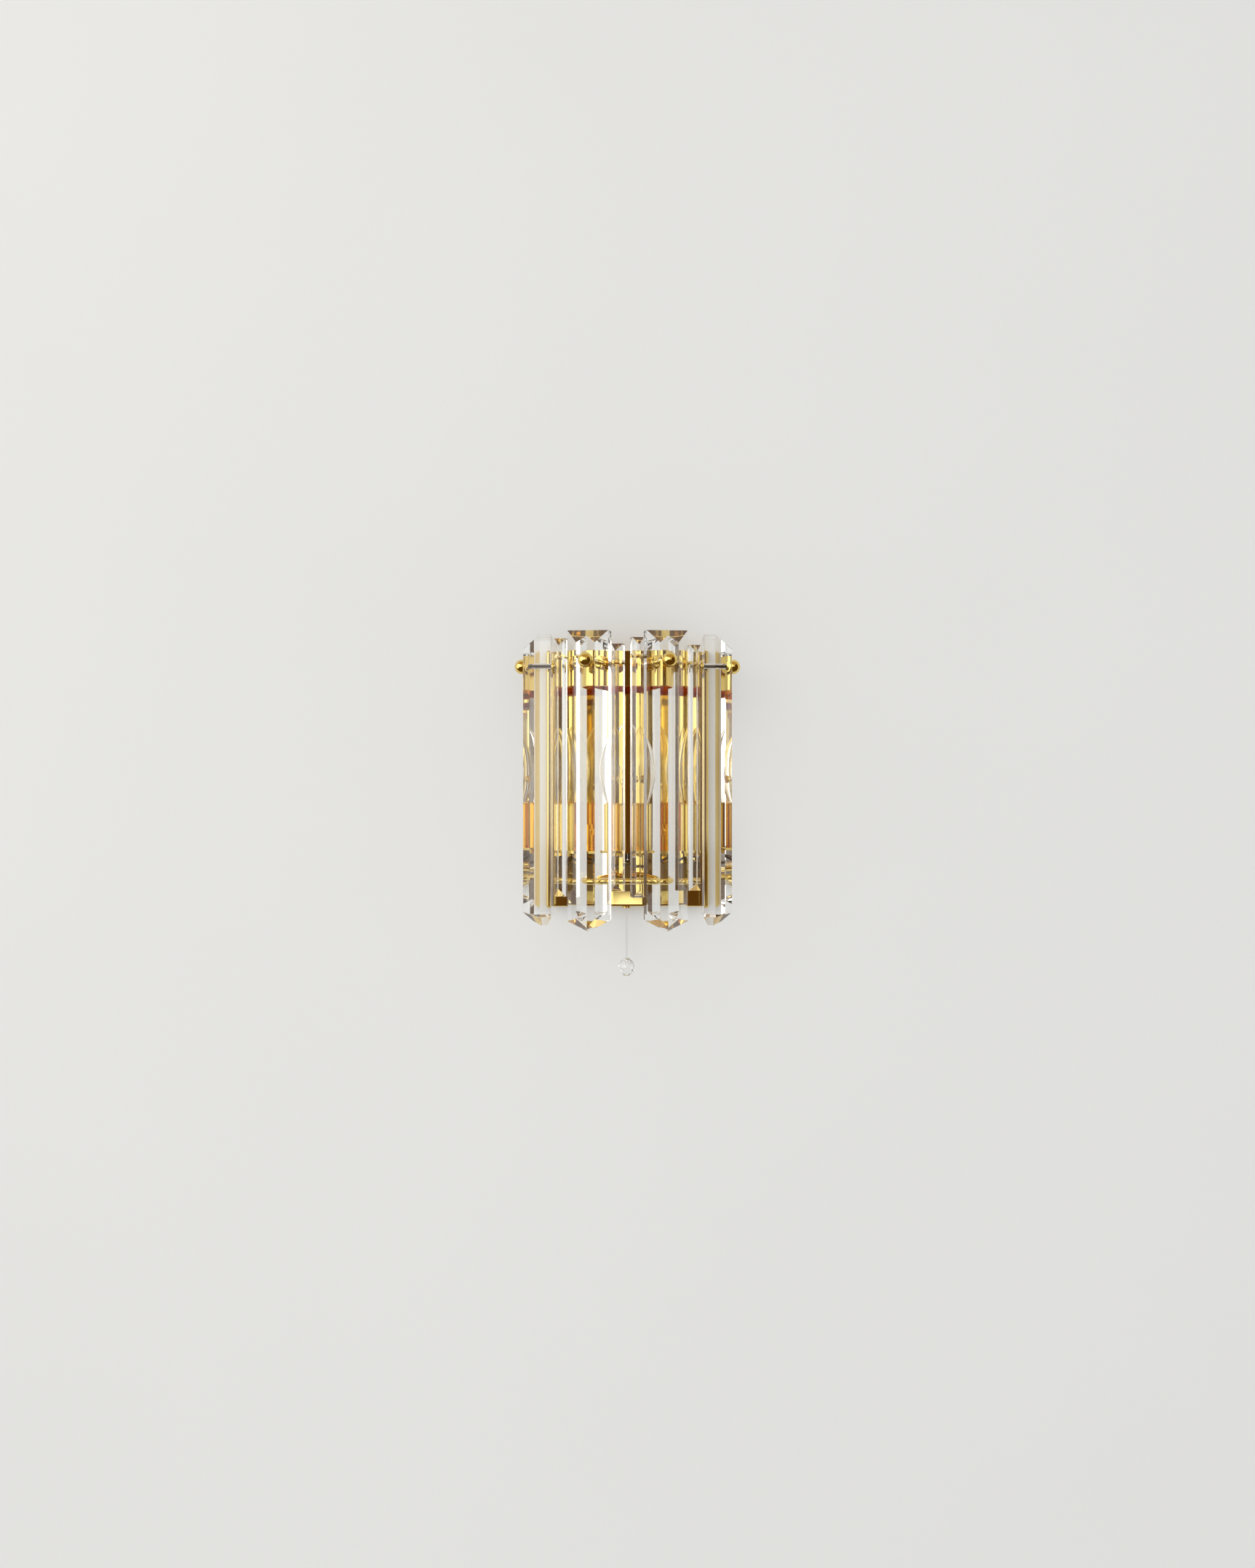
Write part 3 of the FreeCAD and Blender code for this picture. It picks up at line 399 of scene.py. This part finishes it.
class BrassSettings(bpy.types.PropertyGroup):
    colour: bpy.props.FloatVectorProperty(
        name="Gilding", description="Colour of the gilt brass", subtype="COLOR", default=(0.88, 0.67, 0.22),
        min=0.0, max=1.0)
    roughness: bpy.props.FloatProperty(
        name="Haze", description="Roughness of the polish", default=0.035, min=0.0, max=1.0)
    thread_pitch: bpy.props.FloatProperty(
        name="Thread pitch", description="Rise of the stud threads per turn", default=0.0007, min=0.0002,
        max=0.002, unit="LENGTH")


class LampSettings(bpy.types.PropertyGroup):
    glass_wall: bpy.props.FloatProperty(
        name="Glass wall", description="Thickness of the lamp's glass", default=0.0007, min=0.0003, max=0.0015,
        unit="LENGTH")
    coil_radius: bpy.props.FloatProperty(
        name="Coil radius", description="Radius of the filament's fine coil", default=0.00032, min=0.0001,
        max=0.001, unit="LENGTH")


class CordSettings(bpy.types.PropertyGroup):
    diameter: bpy.props.FloatProperty(
        name="Diameter", description="Thickness of the pull cord", default=0.0015, min=0.0005, max=0.004,
        unit="LENGTH")
    braid: bpy.props.FloatProperty(
        name="Braid", description="Length of one turn of the braid's strands", default=0.0012, min=0.0005,
        max=0.01, unit="LENGTH")
    colour: bpy.props.FloatVectorProperty(
        name="Cord colour", description="Colour of the braid", subtype="COLOR", default=(0.80, 0.79, 0.76),
        min=0.0, max=1.0)


class StageSettings(bpy.types.PropertyGroup):
    wall: bpy.props.FloatVectorProperty(
        name="Wall", description="Colour of the painted wall", subtype="COLOR", default=(0.86, 0.85, 0.815),
        min=0.0, max=1.0)
    fill: bpy.props.FloatProperty(
        name="Fill", description="Strength of the even light", default=0.86, min=0.0, max=3.0)
    key: bpy.props.FloatProperty(
        name="Window", description="Power of the window light", default=5.0, min=0.0, max=200.0, unit="POWER")


SETTINGS = {
    "sconce_crystal": CrystalSettings,
    "sconce_brass": BrassSettings,
    "sconce_lamp": LampSettings,
    "sconce_cord": CordSettings,
    "sconce_stage": StageSettings,
}


def brass(context):
    """The one gilt brass that every brass piece shares."""
    found = bpy.data.materials.get("gilt brass")
    settings = context.scene.sconce_brass
    return found or polished_brass("gilt brass", settings.colour, settings.roughness)


def crystal(context):
    """The one clear crystal that every cut piece shares."""
    found = bpy.data.materials.get("clear crystal")
    settings = context.scene.sconce_crystal
    return found or lead_crystal("clear crystal", settings.tint, settings.ior)


# ---- stage ------------------------------------------------------------------------------

EYE = Vector((0.0, -1.0651, -0.004))
LENS = 36.0
SENSOR_WIDTH = 36.0
WINDOW_PLACE = Vector((-1.5, -1.35, 0.75))
WINDOW_SIZE = (0.9, 1.4)
WALL_REACH = 60.0
PAN_RIM = 2.0 * MM

FLOOR = (0.105, 0.056, 0.018)
PALE_WALLS = (0.80, 0.76, 0.68)
CEILING = (0.50, 0.35, 0.19)
SEEN_WALL = (0.86, 0.85, 0.82)
DAYLIGHT = (0.97, 0.98, 1.0)
FLOOR_LINE = (-0.058, -0.038)
CEILING_LINE = (0.3, 0.6)

# Parts of the room, laid over its walls in this order: name, direction, cosines where it starts and where it is
# full, colour.
ROOM_PARTS = (
    ("doorway", (0.80, -0.60, 0.10), 0.86, 0.90, (0.09, 0.045, 0.015)),
    ("window ahead", (-0.30, -1.0, 0.28), 0.93, 0.975, (2.2, 2.2, 2.15)),
    ("window on the left", (-1.0, -0.5, 0.20), 0.82, 0.93, (1.7, 1.68, 1.64)),
    ("dark end of the room", (0.0, -1.0, 0.0), 0.988, 0.991, (0.11, 0.055, 0.018)),
    ("gleam low ahead", (0.0, -1.0, -0.12), 0.9993, 0.9997, (1.7, 1.75, 2.0)),
)


class SCONCE_OT_stage(bpy.types.Operator):
    """Camera at the photograph's place, painted wall, window light and the room around"""

    bl_idname = "sconce.stage"
    bl_label = "Stage"

    def execute(self, context):
        scene = context.scene
        lens = bpy.data.cameras.new("view")
        lens.sensor_fit = "HORIZONTAL"
        lens.sensor_width = SENSOR_WIDTH
        lens.lens = LENS
        lens.clip_start = 0.02
        camera = bpy.data.objects.new("view", lens)
        camera.location = EYE
        camera.rotation_euler = (math.radians(90), 0.0, 0.0)
        scene.collection.objects.link(camera)
        scene.camera = camera
        self.make_wall(scene.sconce_stage.wall)
        self.make_window(scene, scene.sconce_stage.key)
        self.make_room(scene, scene.sconce_stage.fill)
        scene.view_settings.view_transform = "Standard"
        scene.cycles.max_bounces = 32
        scene.cycles.transmission_bounces = 32
        scene.cycles.glossy_bounces = 16
        scene.cycles.transparent_max_bounces = 24
        return {"FINISHED"}

    def make_wall(self, colour):
        """Painted wall, open behind the pan so that daylight reaches the light's rear."""
        plaster = Shader("painted plaster", Roughness=0.85)
        blotch = plaster.noise(plaster.coordinates(), 2.2, 3.0)
        pale = tuple(min(1.0, c * 1.02) for c in colour)
        deep = tuple(c * 0.975 for c in colour)
        plaster.link(plaster.blend(blotch, rgb(deep), rgb(pale)), "Base Color")
        stipple = plaster.noise(plaster.coordinates(), 260.0, 3.0)
        plaster.bump(stipple, 0.0001, 0.25)
        self.clear_from_behind(plaster)
        low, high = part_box("back_pan")
        outer = self.rectangle(-WALL_REACH, WALL_REACH, -WALL_REACH, WALL_REACH)
        inner = self.rectangle(low.x + PAN_RIM, high.x - PAN_RIM, low.z + PAN_RIM, high.z - PAN_RIM)
        backdrop = grid_piece("painted_wall", np.stack([outer, inner]), around=True)
        mesh = backdrop.data
        if mesh.polygons[0].normal.y > 0:
            mesh.flip_normals()
        mesh.materials.append(plaster.material)

    def rectangle(self, left, right, bottom, top):
        """Corners of an upright rectangle on the wall's surface."""
        return np.array([(left, 0.0, bottom), (right, 0.0, bottom), (right, 0.0, top), (left, 0.0, top)])

    def clear_from_behind(self, shade):
        """Seen from its back, the wall lets the view through to the light's rear."""
        tree = shade.tree
        back = shade.add("ShaderNodeNewGeometry").outputs["Backfacing"]
        clear = shade.add("ShaderNodeBsdfTransparent")
        mix = shade.add("ShaderNodeMixShader", {0: back})
        tree.links.new(shade.principled.outputs[0], mix.inputs[1])
        tree.links.new(clear.outputs[0], mix.inputs[2])
        tree.links.new(mix.outputs[0], tree.nodes["Material Output"].inputs["Surface"])

    def make_window(self, scene, power):
        """Large soft window light from the left, above and in front."""
        light = bpy.data.lights.new("window", "AREA")
        light.shape = "RECTANGLE"
        light.size, light.size_y = WINDOW_SIZE
        light.energy = power
        light.color = (1.0, 0.985, 0.96)
        window = bpy.data.objects.new("window", light)
        window.location = WINDOW_PLACE
        window.rotation_euler = (-WINDOW_PLACE).to_track_quat("-Z", "Y").to_euler()
        window.visible_camera = False
        scene.collection.objects.link(window)

    def make_room(self, scene, strength):
        """Even light for matt surfaces, and a room of pale walls, dark floor and windows for metal and glass."""
        world = bpy.data.worlds.new("room")
        world.use_nodes = True
        scene.world = world
        tree = world.node_tree
        tree.nodes.clear()

        def add(kind, links=None, **settings):
            node = tree.nodes.new(kind)
            for key, value in settings.items():
                setattr(node, key, value)
            for socket, source in (links or {}).items():
                if isinstance(source, bpy.types.NodeSocket):
                    tree.links.new(source, node.inputs[socket])
                else:
                    node.inputs[socket].default_value = source
            return node

        def ramp(value, start, end):
            return add("ShaderNodeMapRange", {"Value": value, "From Min": start, "From Max": end},
                       interpolation_type="SMOOTHSTEP").outputs["Result"]

        def mix(fac, first, second):
            node = add("ShaderNodeMix", {0: fac}, data_type="RGBA")
            for slot_index, source in ((6, first), (7, second)):
                if isinstance(source, bpy.types.NodeSocket):
                    tree.links.new(source, node.inputs[slot_index])
                else:
                    node.inputs[slot_index].default_value = source
            return node.outputs[2]

        def towards(direction):
            aim = Vector(direction).normalized()
            return add("ShaderNodeVectorMath", {0: ray, 1: aim}, operation="DOT_PRODUCT").outputs["Value"]

        ray = add("ShaderNodeTexCoord").outputs["Generated"]
        rise = towards((0, 0, 1))
        room = mix(ramp(rise, *FLOOR_LINE), rgb(FLOOR), rgb(PALE_WALLS))
        room = mix(ramp(rise, *CEILING_LINE), room, rgb(CEILING))
        for _, direction, start, end, colour in ROOM_PARTS:
            room = mix(ramp(towards(direction), start, end), room, rgb(colour))
        path = add("ShaderNodeLightPath")
        glossy, through = path.outputs["Is Glossy Ray"], path.outputs["Is Transmission Ray"]
        shiny = add("ShaderNodeMath", {0: glossy, 1: through}, operation="MAXIMUM").outputs[0]
        fill = rgb(c * strength for c in DAYLIGHT)
        seen = mix(path.outputs["Is Camera Ray"], fill, rgb(SEEN_WALL))
        colour = mix(shiny, seen, room)
        background = add("ShaderNodeBackground", {"Color": colour, "Strength": 1.0})
        add("ShaderNodeOutputWorld", {"Surface": background.outputs[0]})


# ---- pull cord and bead -----------------------------------------------------------------


class SCONCE_OT_pull(bpy.types.Operator):
    """Pull cord from the switch's plunger to the faceted bead"""

    bl_idname = "sconce.pull"
    bl_label = "Pull cord and bead"

    def execute(self, context):
        settings = context.scene.sconce_cord
        low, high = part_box("pull_cord")
        x, y = (low.x + high.x) / 2, (low.y + high.y) / 2
        bead = polished_copy("faceted_bead", "pull_bead", 0.00012)
        dress(let_light_through(bead), "pull", crystal(context), "crystal", "pull_bead")
        curve = bpy.data.curves.new("pull_cord_braid", "CURVE")
        curve.dimensions = "3D"
        line = curve.splines.new("NURBS")
        points = [(x, y, high.z, 1.0), (x, y, (low.z + high.z) / 2, 1.0), (x, y, low.z, 1.0)]
        line.points.add(len(points) - 1)
        for point, place in zip(line.points, points):
            point.co = place
        line.order_u = 3
        line.use_endpoint_u = True
        curve.bevel_depth = settings.diameter / 2
        curve.bevel_resolution = 4
        curve.use_fill_caps = True
        cord = bpy.data.objects.new("pull_cord_braid", curve)
        context.scene.collection.objects.link(cord)
        dress(cord, "pull", braided_cord("pull cord", settings.colour, settings.braid), "cord", "pull_cord")
        return {"FINISHED"}


# ---- crystals and prisms ----------------------------------------------------------------


class SCONCE_OT_crystals(bpy.types.Operator):
    """Large ridged crystals and small three-sided prisms with polished edges"""

    bl_idname = "sconce.crystals"
    bl_label = "Crystals and prisms"

    def execute(self, context):
        edge = context.scene.sconce_crystal.edge
        for label in CRYSTALS:
            node = f"crystal_{label}"
            cut = let_light_through(polished_copy(f"cut_{node}", node, edge))
            dress(cut, "frame", crystal(context), "crystal", node)
        for label in PRISMS:
            node = f"prism_{label}"
            cut = let_light_through(polished_copy(f"cut_{node}", node, edge * 0.8))
            dress(cut, "frame", crystal(context), "crystal", node)
        return {"FINISHED"}


# ---- brass ------------------------------------------------------------------------------


class SCONCE_OT_crystal_fixings(bpy.types.Operator):
    """Ball nuts, threaded studs and spacers that hold the large crystals"""

    bl_idname = "sconce.crystal_fixings"
    bl_label = "Ball nuts, studs and spacers"

    BALL = 6.0 * MM
    STUD = 1.95 * MM
    THREAD_DEPTH = 0.22 * MM
    STEPS_A_TURN = 5
    BALL_OUT = 24.88 * MM
    STUD_BEHIND = 10.9 * MM
    STUD_PAST_BALL = 1.4 * MM

    def execute(self, context):
        pitch = context.scene.sconce_brass.thread_pitch
        studs, spacers = [], []
        for label in CRYSTALS:
            joint = JOINTS[f"unscrew_{label}"]
            centre, axis = np.array(joint["pos_m"]), np.array(joint["axis"])
            ball = self.ball(label, centre, axis)
            dress(ball, f"nut_{label}", brass(context), "brass", f"ball_nut_{label}")
            seat = centre - self.BALL_OUT * axis
            studs.append(self.stud(seat, axis, pitch))
            spacers.append(self.spacer(seat, axis))
        # Painted shade: the studs' near-black colour stands in for the shade in their threads and the dark
        # surroundings they reflect.
        threads = polished_brass("threaded brass with painted shade", (0.07, 0.045, 0.02), 0.35)
        dress(self.group("threaded_studs", studs), "frame", threads, "brass", "crystal_studs")
        dress(self.group("turned_spacers", spacers), "frame", brass(context), "brass", "crystal_spacers")
        return {"FINISHED"}

    def ball(self, label, centre, axis):
        """Sphere turned from a quarter short of its back pole, where the stud goes in, to its front pole."""
        start = math.asin((self.STUD + 0.05 * MM) / self.BALL)
        angle = np.linspace(-math.pi / 2 + start, math.pi / 2, 49)
        profile = np.stack([self.BALL * np.cos(angle), self.BALL * np.sin(angle)], axis=-1)
        profile[-1, 0] = 0.0
        bore = np.array([[0.0, 0.0], [self.STUD, 0.0], [self.STUD, profile[0, 1]]])
        return turned(f"ball_{label}", np.vstack([bore, profile]), centre, axis, 96)

    def stud(self, seat, axis, pitch):
        """Threaded rod: r = R - depth |saw(s / pitch - t / turn)|, a ridge that climbs one pitch a turn."""
        start, end = -self.STUD_BEHIND, self.BALL_OUT + self.STUD_PAST_BALL
        steps = int((end - start) / pitch * self.STEPS_A_TURN)
        s = np.linspace(start, end, steps)
        profile = np.stack([np.full(steps, self.STUD), s], axis=-1)
        profile = np.vstack([[0.0, start], profile, [0.0, end]])

        def thread(s, t):
            saw = np.abs(((s / pitch - t / (2 * np.pi)) % 1.0) * 2.0 - 1.0)
            cut = -self.THREAD_DEPTH * saw
            cut[0] = cut[-1] = 0.0
            return cut

        return turned_points(profile, seat, axis, 20, thread)

    def spacer(self, seat, axis):
        """Turned sleeve with eased edges: outer wall, two flat ends and the bore."""
        outer, inner, length, ease = 5.5 * MM, 2.0 * MM, 4.7 * MM, 0.5 * MM
        profile = np.vstack([
            [[inner, -length]],
            rounded_corner(outer - ease, -length + ease, ease, -90, 0),
            rounded_corner(outer - ease, -ease, ease, 0, 90),
            [[inner, 0.0]],
        ])
        return turned_points(profile, seat, axis, 56)

    def group(self, name, grids):
        """One object from the grids of like pieces."""
        return joined(name, [grid_piece(f"{name}_{i}", grid, around=True) for i, grid in enumerate(grids)])


class SCONCE_OT_brass_frame(bpy.types.Operator):
    """Wall pan, upper band, lower ring, lamp shelf and the small brass fixings"""

    bl_idname = "sconce.brass_frame"
    bl_label = "Brass frame"

    SHEET = 1.5 * MM
    SHEET_EDGE = 0.35 * MM
    BAR = 2.5 * MM
    BEND = 1.6 * MM
    FOOT_REACH = 12.0 * MM

    def execute(self, context):
        paint(brass(context), "back_pan", "lamp_shelf", "frame_screws", "cap_nuts", "stud_nuts", "prism_pins",
              "earth_screw", "holder_nuts", "pull_bush")
        low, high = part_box("upper_band")
        band = grid_piece("bent_band", self.strip(low.z, high.z), around=True, sharp=60.0)
        dress(band, "frame", brass(context), "brass", "upper_band")
        normals = band.modifiers.new("flat faces", "WEIGHTED_NORMAL")
        normals.weight = 100
        low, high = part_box("lower_ring")
        dress(self.ring((low.z + high.z) / 2), "frame", brass(context), "brass", "lower_ring")
        return {"FINISHED"}

    def ring(self, level):
        """Round bar along the plan with a pressed foot at each end, as one object."""
        path = self.plan(self.BAR, foot=False)
        path = np.column_stack([path, np.full(len(path), level)])
        parts = [grid_piece("bar", tube_points(path, self.BAR, 28, upright=True), around=True)]
        parts += [grid_piece("foot", self.foot(side, level), around=True, sharp=60.0) for side in (-1, 1)]
        return joined("bent_ring", parts)

    def foot(self, side, level):
        """Flat foot on the pan: a rounded rectangle, its front edge eased by a quarter arc."""
        half_x, half_z, corner, ease = 7.25 * MM, 4.0 * MM, 2.0 * MM, 0.4 * MM
        quarter = np.radians(np.linspace(0, 90, 5))
        insets = [0.0, *(ease * (1 - np.cos(quarter)))]
        outlines = [rounded_rectangle(half_x, half_z, corner, inset) for inset in insets]
        middle = np.zeros_like(outlines[0])
        fronts = [0.0, 0.0, *(self.SHEET - ease + ease * np.sin(quarter)), self.SHEET]
        across = side * (FRAME_SIDE - half_x)
        rows = []
        for outline, front in zip([middle, *outlines, middle], fronts):
            inward = np.full(len(outline), PAN_FACE - front)
            rows.append(np.column_stack([across + outline[:, 0], inward, level + outline[:, 1]]))
        return np.stack(rows)

    def strip(self, low, high):
        """Rounded strip section along the bent plan: point = path + a n + b z, over the section's (a, b)."""
        middle = self.plan(self.SHEET / 2)
        tangent = np.gradient(middle, axis=0)
        tangent /= np.linalg.norm(tangent, axis=1)[:, None]
        normal = np.stack([tangent[:, 1], -tangent[:, 0]], axis=-1)
        section = rounded_rectangle(self.SHEET / 2, (high - low) / 2, self.SHEET_EDGE, count=4)
        flat = middle[:, None] + section[None, :, :1] * normal[:, None]
        rise = np.broadcast_to((low + high) / 2 + section[None, :, 1], flat.shape[:2])
        points = np.dstack([flat, rise])
        middles = np.broadcast_to(points.mean(axis=1, keepdims=True), points.shape)
        return np.concatenate([middles[:1], points, middles[-1:]])

    def plan(self, inset, foot=True):
        """Half the plan and its mirror image, the outside moved in by inset.

        It runs from the foot, or from the end on the pan, along the straight side and the round corner to the
        middle of the front.
        """
        side, front, base = FRAME_SIDE - inset, FRAME_FRONT + inset, PAN_FACE - inset
        centre_x, centre_y = FRAME_SIDE - FRAME_CORNER, FRAME_FRONT + FRAME_CORNER
        if foot:
            bend = self.BEND
            start = np.vstack([
                [[FRAME_SIDE - self.SHEET - self.FOOT_REACH, base], [side - bend - 0.5 * MM, base]],
                rounded_corner(side - bend, base - bend, bend, 90, 0, 7),
                [[side, base - bend - 1.0 * MM]],
            ])
        else:
            start = np.array([[side, PAN_FACE - 0.2 * MM], [side, PAN_FACE - 8.0 * MM]])
        half = np.vstack([
            start,
            [[side, centre_y + 1.0 * MM]],
            rounded_corner(centre_x, centre_y, FRAME_CORNER - inset, 0, -90, 40),
            [[centre_x - 1.1 * MM, front], [2.0 * MM, front]],
        ])
        return np.vstack([half, (half * [-1.0, 1.0])[::-1]])


# ---- lamps ------------------------------------------------------------------------------


class SCONCE_OT_lamps(bpy.types.Operator):
    """Clear candle lamps with coiled filaments, in holders inside polished sleeves"""

    bl_idname = "sconce.lamps"
    bl_label = "Lamps"

    COIL_WIRE = 0.07 * MM
    COIL_TURN = 0.5 * MM
    SUPPORT_WIRE = 0.16 * MM

    def execute(self, context):
        settings = context.scene.sconce_lamp
        clear = lamp_glass("lamp glass")
        wire = tungsten("filament wire")
        holder = moulded("holder plastic", (0.80, 0.77, 0.70), 0.45)
        nickel = zinc_steel("lamp cap nickel")
        for label in LAMPS:
            body = f"bulb_{label}"
            x, y, _ = JOINTS[f"unscrew_bulb_{label}"]["pos_m"]
            base = np.array([x, y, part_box(f"bulb_glass_{label}")[0].z])
            glass = turned(f"candle_glass_{label}", self.envelope(settings.glass_wall), base, sides=80)
            dress(let_light_through(glass), body, clear, "bulb_glass", f"bulb_glass_{label}")
            mount = turned(f"glass_mount_{label}", self.mount(), base, sides=40)
            dress(mount, body, clear, "bulb_glass", f"bulb_stem_{label}")
            coil = tube_points(self.coil(base, settings.coil_radius), self.COIL_WIRE, 6)
            filament = grid_piece(f"coiled_filament_{label}", coil, around=True)
            dress(filament, body, wire, "filament_wire", f"filament_{label}")
            dress(self.supports(label, base), body, wire, "filament_wire")
            low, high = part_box(f"holder_sleeve_{label}")
            sleeve = turned(f"polished_sleeve_{label}", self.sleeve(high.z - low.z), (x, y, low.z), sides=96)
            dress(sleeve, "frame", brass(context), "brass", f"holder_sleeve_{label}")
            paint(holder, f"lampholder_{label}")
            paint(nickel, f"bulb_cap_{label}")
        return {"FINISHED"}

    def envelope(self, wall):
        """Candle outline outside, then the same outline inside, one wall smaller."""
        outline = MM * np.array([
            (7.2, 0.0), (7.6, 2.6), (9.0, 6.0), (12.0, 13.0), (15.2, 21.5), (17.1, 31.0), (17.4, 39.0),
            (16.1, 48.0), (13.0, 57.0), (9.2, 64.0), (5.6, 69.6), (2.8, 73.4), (1.1, 75.5), (0.0, 76.0),
        ])
        outer = smooth_through(outline, 120)
        outer[:, 0] = np.maximum(outer[:, 0], 0.0)
        slope = np.gradient(outer, axis=0)
        slope /= np.linalg.norm(slope, axis=1)[:, None]
        normal = np.stack([slope[:, 1], -slope[:, 0]], axis=-1)
        inner = outer - wall * normal
        inner[:, 0] = np.maximum(inner[:, 0], 0.0)
        inner[0, 1], inner[-1] = outer[0, 1], (0.0, outer[-1, 1] - 1.6 * wall)
        return np.vstack([outer, inner[::-1], outer[:1]])

    def mount(self):
        """Glass mount: a flared foot that closes the neck and a thin stem with a pressed button."""
        outline = MM * np.array([
            (0.0, 0.2), (6.2, 0.2), (6.0, 1.2), (3.4, 4.0), (2.1, 8.0), (1.7, 14.0), (1.7, 21.0),
            (1.2, 23.5), (1.1, 24.6), (1.9, 25.8), (1.6, 27.0), (0.0, 27.4),
        ])
        profile = np.vstack([outline[:2], smooth_through(outline[1:], 60)])
        profile[:, 0] = np.maximum(profile[:, 0], 0.0)
        return profile

    def crown(self, base):
        """Corners of the filament's path: up and down between the upper and lower support hooks."""
        x = np.linspace(-5.0, 5.0, 5) * MM
        z = np.array([41.0, 34.0, 43.0, 34.0, 41.0]) * MM
        y = np.array([0.0, 2.2, -1.2, 2.2, 0.0]) * MM
        return base + np.stack([x, y, z], axis=-1)

    def coil(self, base, radius):
        """Helix about the crown's line: point = line + R (cos wt n + sin wt m), ten points in each turn."""
        corners = self.crown(base)
        runs = np.linalg.norm(np.diff(corners, axis=0), axis=1)
        lengths = np.concatenate([[0.0], np.cumsum(runs)])
        count = int(lengths[-1] / self.COIL_TURN * 10)
        run = np.linspace(0.0, lengths[-1], count)
        line = np.stack([np.interp(run, lengths, corners[:, i]) for i in range(3)], axis=-1)
        ahead = np.gradient(line, axis=0)
        ahead /= np.linalg.norm(ahead, axis=1)[:, None]
        side = np.cross(ahead, [0.0, 1.0, 0.0])
        side /= np.linalg.norm(side, axis=1)[:, None]
        other = np.cross(ahead, side)
        turn = (2 * np.pi * run / self.COIL_TURN)[:, None]
        return line + radius * (np.cos(turn) * side + np.sin(turn) * other)

    def supports(self, label, base):
        """Two lead wires from the mount to the filament's ends and a hook wire for each of its bends."""
        corners = self.crown(base) - base
        routes = [MM * np.array([(side * 1.0, 0.0, 12.0), (side * 1.9, 0.0, 22.0), (side * 4.6, 0.0, 30.0)])
                  for side in (-1, 1)]
        routes = [np.vstack([route, end]) for route, end in zip(routes, (corners[0], corners[-1]))]
        button = MM * np.array([0.0, 0.0, 26.4])
        sag = MM * np.array([0.0, 0.4, -1.0])
        routes += [[button, (button + corner) / 2 + sag, corner] for corner in corners[1:-1]]
        tubes = [tube_points(base + smooth_through(route, 24), self.SUPPORT_WIRE, 8) for route in routes]
        wires = [grid_piece("wire", tube, around=True) for tube in tubes]
        return joined(f"filament_supports_{label}", wires, 60.0)

    def sleeve(self, height):
        """Thin polished tube with a rolled lip at the top."""
        outer, wall, lip = 13.5 * MM, 0.8 * MM, 0.55 * MM
        return np.vstack([
            [[outer - wall, 0.0], [outer, 0.0], [outer, 1.5 * MM], [outer, height - 3.0 * lip]],
            rounded_corner(outer - lip, height - lip, lip, -20, 200, 12),
            [[outer - wall, height - 3.0 * lip], [outer - wall, 0.0]],
        ])


# ---- switch and wiring ------------------------------------------------------------------


class SCONCE_OT_wiring(bpy.types.Operator):
    """Switch, leads, terminal block and the steel wall bracket behind the pan"""

    bl_idname = "sconce.wiring"
    bl_label = "Switch and wiring"

    def execute(self, context):
        brown = moulded("brown plastic", (0.17, 0.095, 0.025), 0.4, gloss=0.15)
        paint(brown, "pull_switch", "lead_grommet")
        white = moulded("white plastic", (0.80, 0.80, 0.77), 0.4)
        paint(white, "terminal_block", "switch_plunger")
        insulation = moulded("lead insulation", (0.12, 0.07, 0.035), 0.35)
        paint(insulation, "lamp_lead_left", "lamp_lead_right", "switch_lead")
        paint(zinc_steel("zinc-plated steel"), "wall_bracket", "bracket_studs")
        return {"FINISHED"}


# ---- panel and registration -------------------------------------------------------------

OPERATORS = (
    SCONCE_OT_stage,
    SCONCE_OT_pull,
    SCONCE_OT_crystals,
    SCONCE_OT_crystal_fixings,
    SCONCE_OT_brass_frame,
    SCONCE_OT_lamps,
    SCONCE_OT_wiring,
)


class SCONCE_PT_panel(bpy.types.Panel):
    bl_idname = "SCONCE_PT_panel"
    bl_label = "Crystal wall sconce"
    bl_space_type = "VIEW_3D"
    bl_region_type = "UI"
    bl_category = "Sconce"

    def draw(self, context):
        for name, group in SETTINGS.items():
            box = self.layout.box()
            for key in group.__annotations__:
                box.prop(getattr(context.scene, name), key)
        for operator in OPERATORS:
            self.layout.operator(operator.bl_idname)


def register():
    for name, group in SETTINGS.items():
        bpy.utils.register_class(group)
        setattr(bpy.types.Scene, name, bpy.props.PointerProperty(type=group))
    for item in (*OPERATORS, SCONCE_PT_panel):
        bpy.utils.register_class(item)


def unregister():
    for item in reversed((*OPERATORS, SCONCE_PT_panel)):
        bpy.utils.unregister_class(item)
    for name, group in reversed(list(SETTINGS.items())):
        delattr(bpy.types.Scene, name)
        bpy.utils.unregister_class(group)


def main():
    register()
    for operator in OPERATORS:
        group, name = operator.bl_idname.split(".")
        getattr(getattr(bpy.ops, group), name)()


if __name__ == "__main__":
    main()
